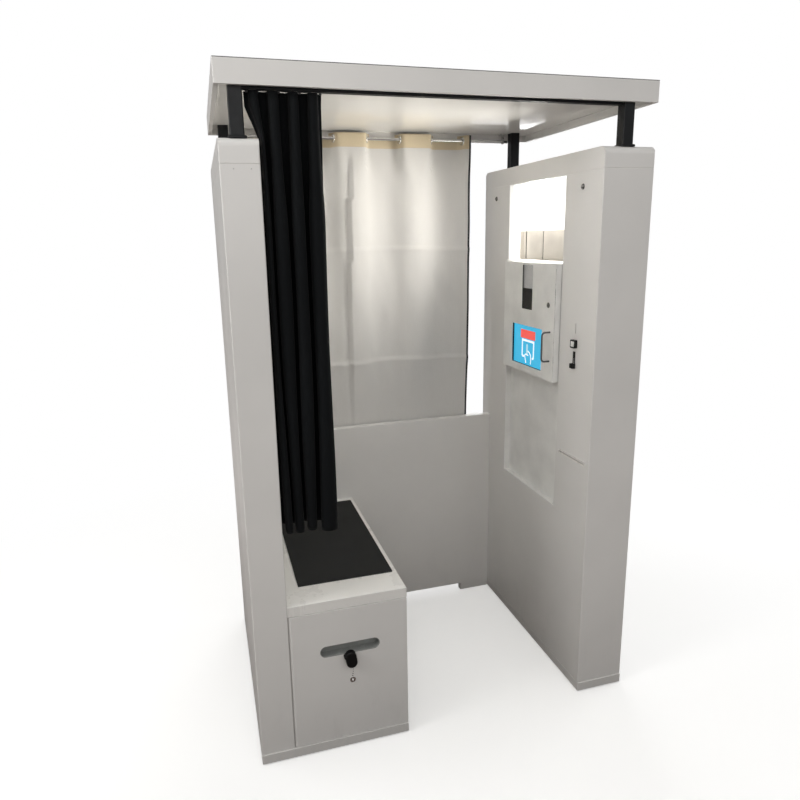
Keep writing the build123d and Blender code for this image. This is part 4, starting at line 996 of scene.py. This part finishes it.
def make_display():
    """A plain picture on the display: a red bar and a hand that points into a frame."""
    low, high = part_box("touchscreen_panel")
    place = screen_point(low, high)
    shapes = [prism("screen_bar", rounded(*BAR_SIZE, 0.003, BAR_AT), PRINT_THICK, SCREEN_RED, place)]
    left, right = FRAME_AT[0] - FRAME_SIZE[0] / 2, FRAME_AT[0] + FRAME_SIZE[0] / 2
    bottom, top = FRAME_AT[1] - FRAME_SIZE[1] / 2, FRAME_AT[1] + FRAME_SIZE[1] / 2
    corner = top + FRAME_WIDE / 2
    bars = {
        "top": ((left, top), (right, top)),
        "left": ((left, corner), (left, bottom)),
        "right": ((right, corner), (right, bottom)),
        "low_left": ((left, bottom), (left + FRAME_FEET[0], bottom)),
        "low_right": ((right, bottom), (right - FRAME_FEET[1], bottom)),
    }
    for side, line in bars.items():
        shapes.append(stroke(f"screen_frame_{side}", line, FRAME_WIDE, SCREEN_WHITE, place))
    finger = rounded(*FINGER_SIZE, 0.0062, (FRAME_AT[0] - 0.006, FRAME_AT[1] - 0.004))
    shapes.append(prism("screen_finger", finger, PRINT_THICK, SCREEN_PALE, place))
    for name, line in (("thumb", THUMB), ("palm", PALM)):
        shapes.append(stroke(f"screen_{name}", line, HAND_WIDE, SCREEN_WHITE, place, HAND_THICK))
    for piece in shapes:
        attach(piece, "unit_door")


FILM_FROM = 0.47
FILM_THICK = 0.0006
FILM_BEHIND = 0.0008
SEAL_WIDE = 0.004
SEAL_LAP = 0.005
SEAL_THICK = 0.0014
SEAL_BEHIND = 0.0019


def make_window_glow_film():
    """A grey film behind the window's upper half, glowing faintly as painted light, and a dark seal at two of
    its edges.
    """
    # The film's faint glow is painted light that brightens the window's upper half; the film is no lamp.
    glow_film = opal("window_film", (0.88, 0.88, 0.87), 0.12)
    low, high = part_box("camera_window")
    split = between(low.z, high.z, FILM_FROM)
    size = (high.y - low.y - 0.002, high.z - split - 0.001)
    centre_y, centre_z = (low.y + high.y) / 2, (split + high.z) / 2
    outline = rounded(*size, 0.002)
    piece = prism("window_film", outline, FILM_THICK, glow_film,
                  lambda a, b, out: (high.x + FILM_BEHIND - out, centre_y - a, centre_z + b))
    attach(piece, "unit_door")
    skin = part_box("unit_door")[0].x
    wide, lap = SEAL_WIDE, SEAL_LAP
    seals = {
        "side": (wide, high.z - low.z - 2 * lap, high.y - lap - wide / 2, (low.z + high.z) / 2),
        "low": (high.y - low.y - 2 * lap, wide, centre_y, low.z + lap + wide / 2),
    }
    for side, (across, tall, seal_y, seal_z) in seals.items():
        piece = prism(f"window_seal_{side}", rounded(across, tall, 0.001), SEAL_THICK, FINISHES["trim_black"],
                      lambda a, b, out, y=seal_y, z=seal_z: (skin + SEAL_BEHIND - out, y - a, z + b))
        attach(piece, "unit_door")


# Each cream plate and each dark gap, from and to, measured along the bay from its near end.
BAY_PLATES = ((0.006, 0.218), (0.223, 0.343), (0.351, 0.367))
BAY_GAPS = ((0.216, 0.225), (0.341, 0.353))
BAY_OFF = 0.0005
BAY_FLOOR = 0.0075
BAY_UNDER_LEDS = 0.012
BAY_CORNER = 0.0015
PLATE_THICK = 0.003
PLATE_EDGE = 0.0008
GAP_THICK = 0.0015
LIP_HIGH = 0.0066
LIP_DEEP = 0.015
LIP_SIDE = 0.004
LIP_ABOVE = 0.0006


def make_bay_panels():
    """Cream plates in the lit gap above the screen unit, dark gaps between them, and a lip that glows as
    painted light, though it is no lamp.
    """
    near_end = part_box("camera_bay")[0].y
    unit_low, unit_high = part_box("unit_door")
    led_low, led_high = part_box("led_strips")
    back_x = led_high.x - BAY_OFF
    floor_z = unit_high.z + BAY_FLOOR
    top_z = led_low.z - BAY_UNDER_LEDS
    centre_z = (floor_z + top_z) / 2
    for k, (near, far) in enumerate(BAY_PLATES):
        centre_y = near_end + (near + far) / 2
        outline = rounded(far - near, top_z - floor_z, BAY_CORNER)
        piece = prism(f"bay_panel_{k + 1}", outline, PLATE_THICK, FINISHES["bay_cream"],
                      lambda a, b, out, y=centre_y: (back_x - out, y - a, centre_z + b), PLATE_EDGE)
        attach(piece, "booth")
    for k, (near, far) in enumerate(BAY_GAPS):
        centre_y = near_end + (near + far) / 2
        outline = rounded(far - near, top_z - floor_z - 0.002, BAY_CORNER)
        piece = prism(f"bay_gap_{k + 1}", outline, GAP_THICK, FINISHES["trim_black"],
                      lambda a, b, out, y=centre_y: (back_x - out, y - a, centre_z + b))
        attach(piece, "booth")
    lip_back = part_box("light_diffuser")[0].x - BAY_OFF
    lip_wide = unit_high.y - unit_low.y - LIP_SIDE
    lip_y, lip_z = (unit_low.y + unit_high.y) / 2, unit_high.z + LIP_ABOVE + LIP_HIGH / 2
    # The lip takes the diffuser's glowing finish: painted light that keeps its front bright, though it is no
    # lamp.
    glowing_lip = prism("bay_lip", rounded(lip_wide, LIP_HIGH, 0.002), LIP_DEEP, FINISHES["diffuser_opal"],
                lambda a, b, out: (lip_back - out, lip_y - a, lip_z + b))
    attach(glowing_lip, "booth")


# ------------------------------------ screws and marks
# A pan head with a round recess, as (radius, height) in shares of the head's radius.
SCREW_PROFILE = ((0.0, 0.30), (0.30, 0.30), (0.38, 0.62), (0.62, 0.58), (0.86, 0.42), (1.0, 0.12), (1.0, 0.0))
SCREW_SIDES = 28
CAP_SCREW, PANEL_SCREW, ROOF_SCREW = 0.0018, 0.003, 0.0045
CAP_SCREWS_AT = (0.034, 0.077)
PANEL_SCREW_IN = (0.014, 0.012)
ROOF_SCREW_IN = 0.02
ROOF_SCREWS = (6, 4)


def screw(name, at, towards, radius, slot="chrome_bright"):
    """A screw head that stands on a face of the booth."""
    profile = [(r * radius, d * radius) for r, d in SCREW_PROFILE]
    piece = lathed(name, profile, FINISHES[slot], at, towards, SCREW_SIDES)
    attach(piece, "booth")


def make_screws():
    """Small fasteners: cap screws, light panel screws, and the roof sheet's edge screws."""
    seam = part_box("left_wall_cap")[0].z
    wall_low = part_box("left_wall_shell")[0]
    for k, across in enumerate(CAP_SCREWS_AT):
        at = (wall_low.x + across, wall_low.y, seam - 0.012)
        screw(f"cap_screw_{k + 1}", at, (0, -1, 0), CAP_SCREW, "steel_zinc")
    low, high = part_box("light_diffuser")
    side, down = PANEL_SCREW_IN
    for k, y in enumerate((low.y + side, high.y - side)):
        screw(f"panel_screw_{k + 1}", (low.x, y, high.z - down), (-1, 0, 0), PANEL_SCREW)
    roof_low, roof_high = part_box("roof_top_sheet")
    across, along = ROOF_SCREWS
    left, right = roof_low.x + ROOF_SCREW_IN, roof_high.x - ROOF_SCREW_IN
    front, back = roof_low.y + ROOF_SCREW_IN, roof_high.y - ROOF_SCREW_IN
    spots = [(between(left, right, k / (across - 1)), y) for k in range(across) for y in (front, back)]
    spots += [(x, between(front, back, k / (along - 1))) for k in range(1, along - 1) for x in (left, right)]
    for k, (x, y) in enumerate(spots):
        screw(f"roof_screw_{k + 1}", (x, y, roof_high.z), (0, 0, 1), ROOF_SCREW, "steel_zinc")


MARKS = 4
MARK_THICK = 0.0003
MARK_RADII = (0.0020, 0.0011)
MARK_RISE = (0.004, 0.026)
MARK_STEP = 0.001


def make_seat_marks():
    """A short row of grey dots between the latch and the lock, which shows the way to turn."""
    ink = plastic("mark_ink", (0.12, 0.12, 0.12), 0.6, 0.00002, 0.0)
    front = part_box("seat_door")[0].y
    lock_low, lock_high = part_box("seat_cam_lock")
    x = (lock_low.x + lock_high.x) / 2
    from_z, to_z = (lock_high.z + rise for rise in MARK_RISE)
    for k in range(MARKS):
        z = between(from_z, to_z, k / (MARKS - 1))
        radius = between(*MARK_RADII, k / (MARKS - 1))
        dot = [(0.0, MARK_THICK), (radius, MARK_THICK), (radius, 0.0)]
        at = (x + MARK_STEP * k, front, z)
        piece = lathed(f"turn_mark_{k + 1}", dot, ink, at, (0, -1, 0), 16)
        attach(piece, "seat_door")


gather_start, gather_end = make_front_curtain()
make_gliders(gather_start, gather_end)
eyelet_x, rear_start, rear_end = make_rear_curtain()
make_eyelets(eyelet_x, rear_start, rear_end)
make_display()
make_window_glow_film()
make_bay_panels()
make_screws()
make_seat_marks()
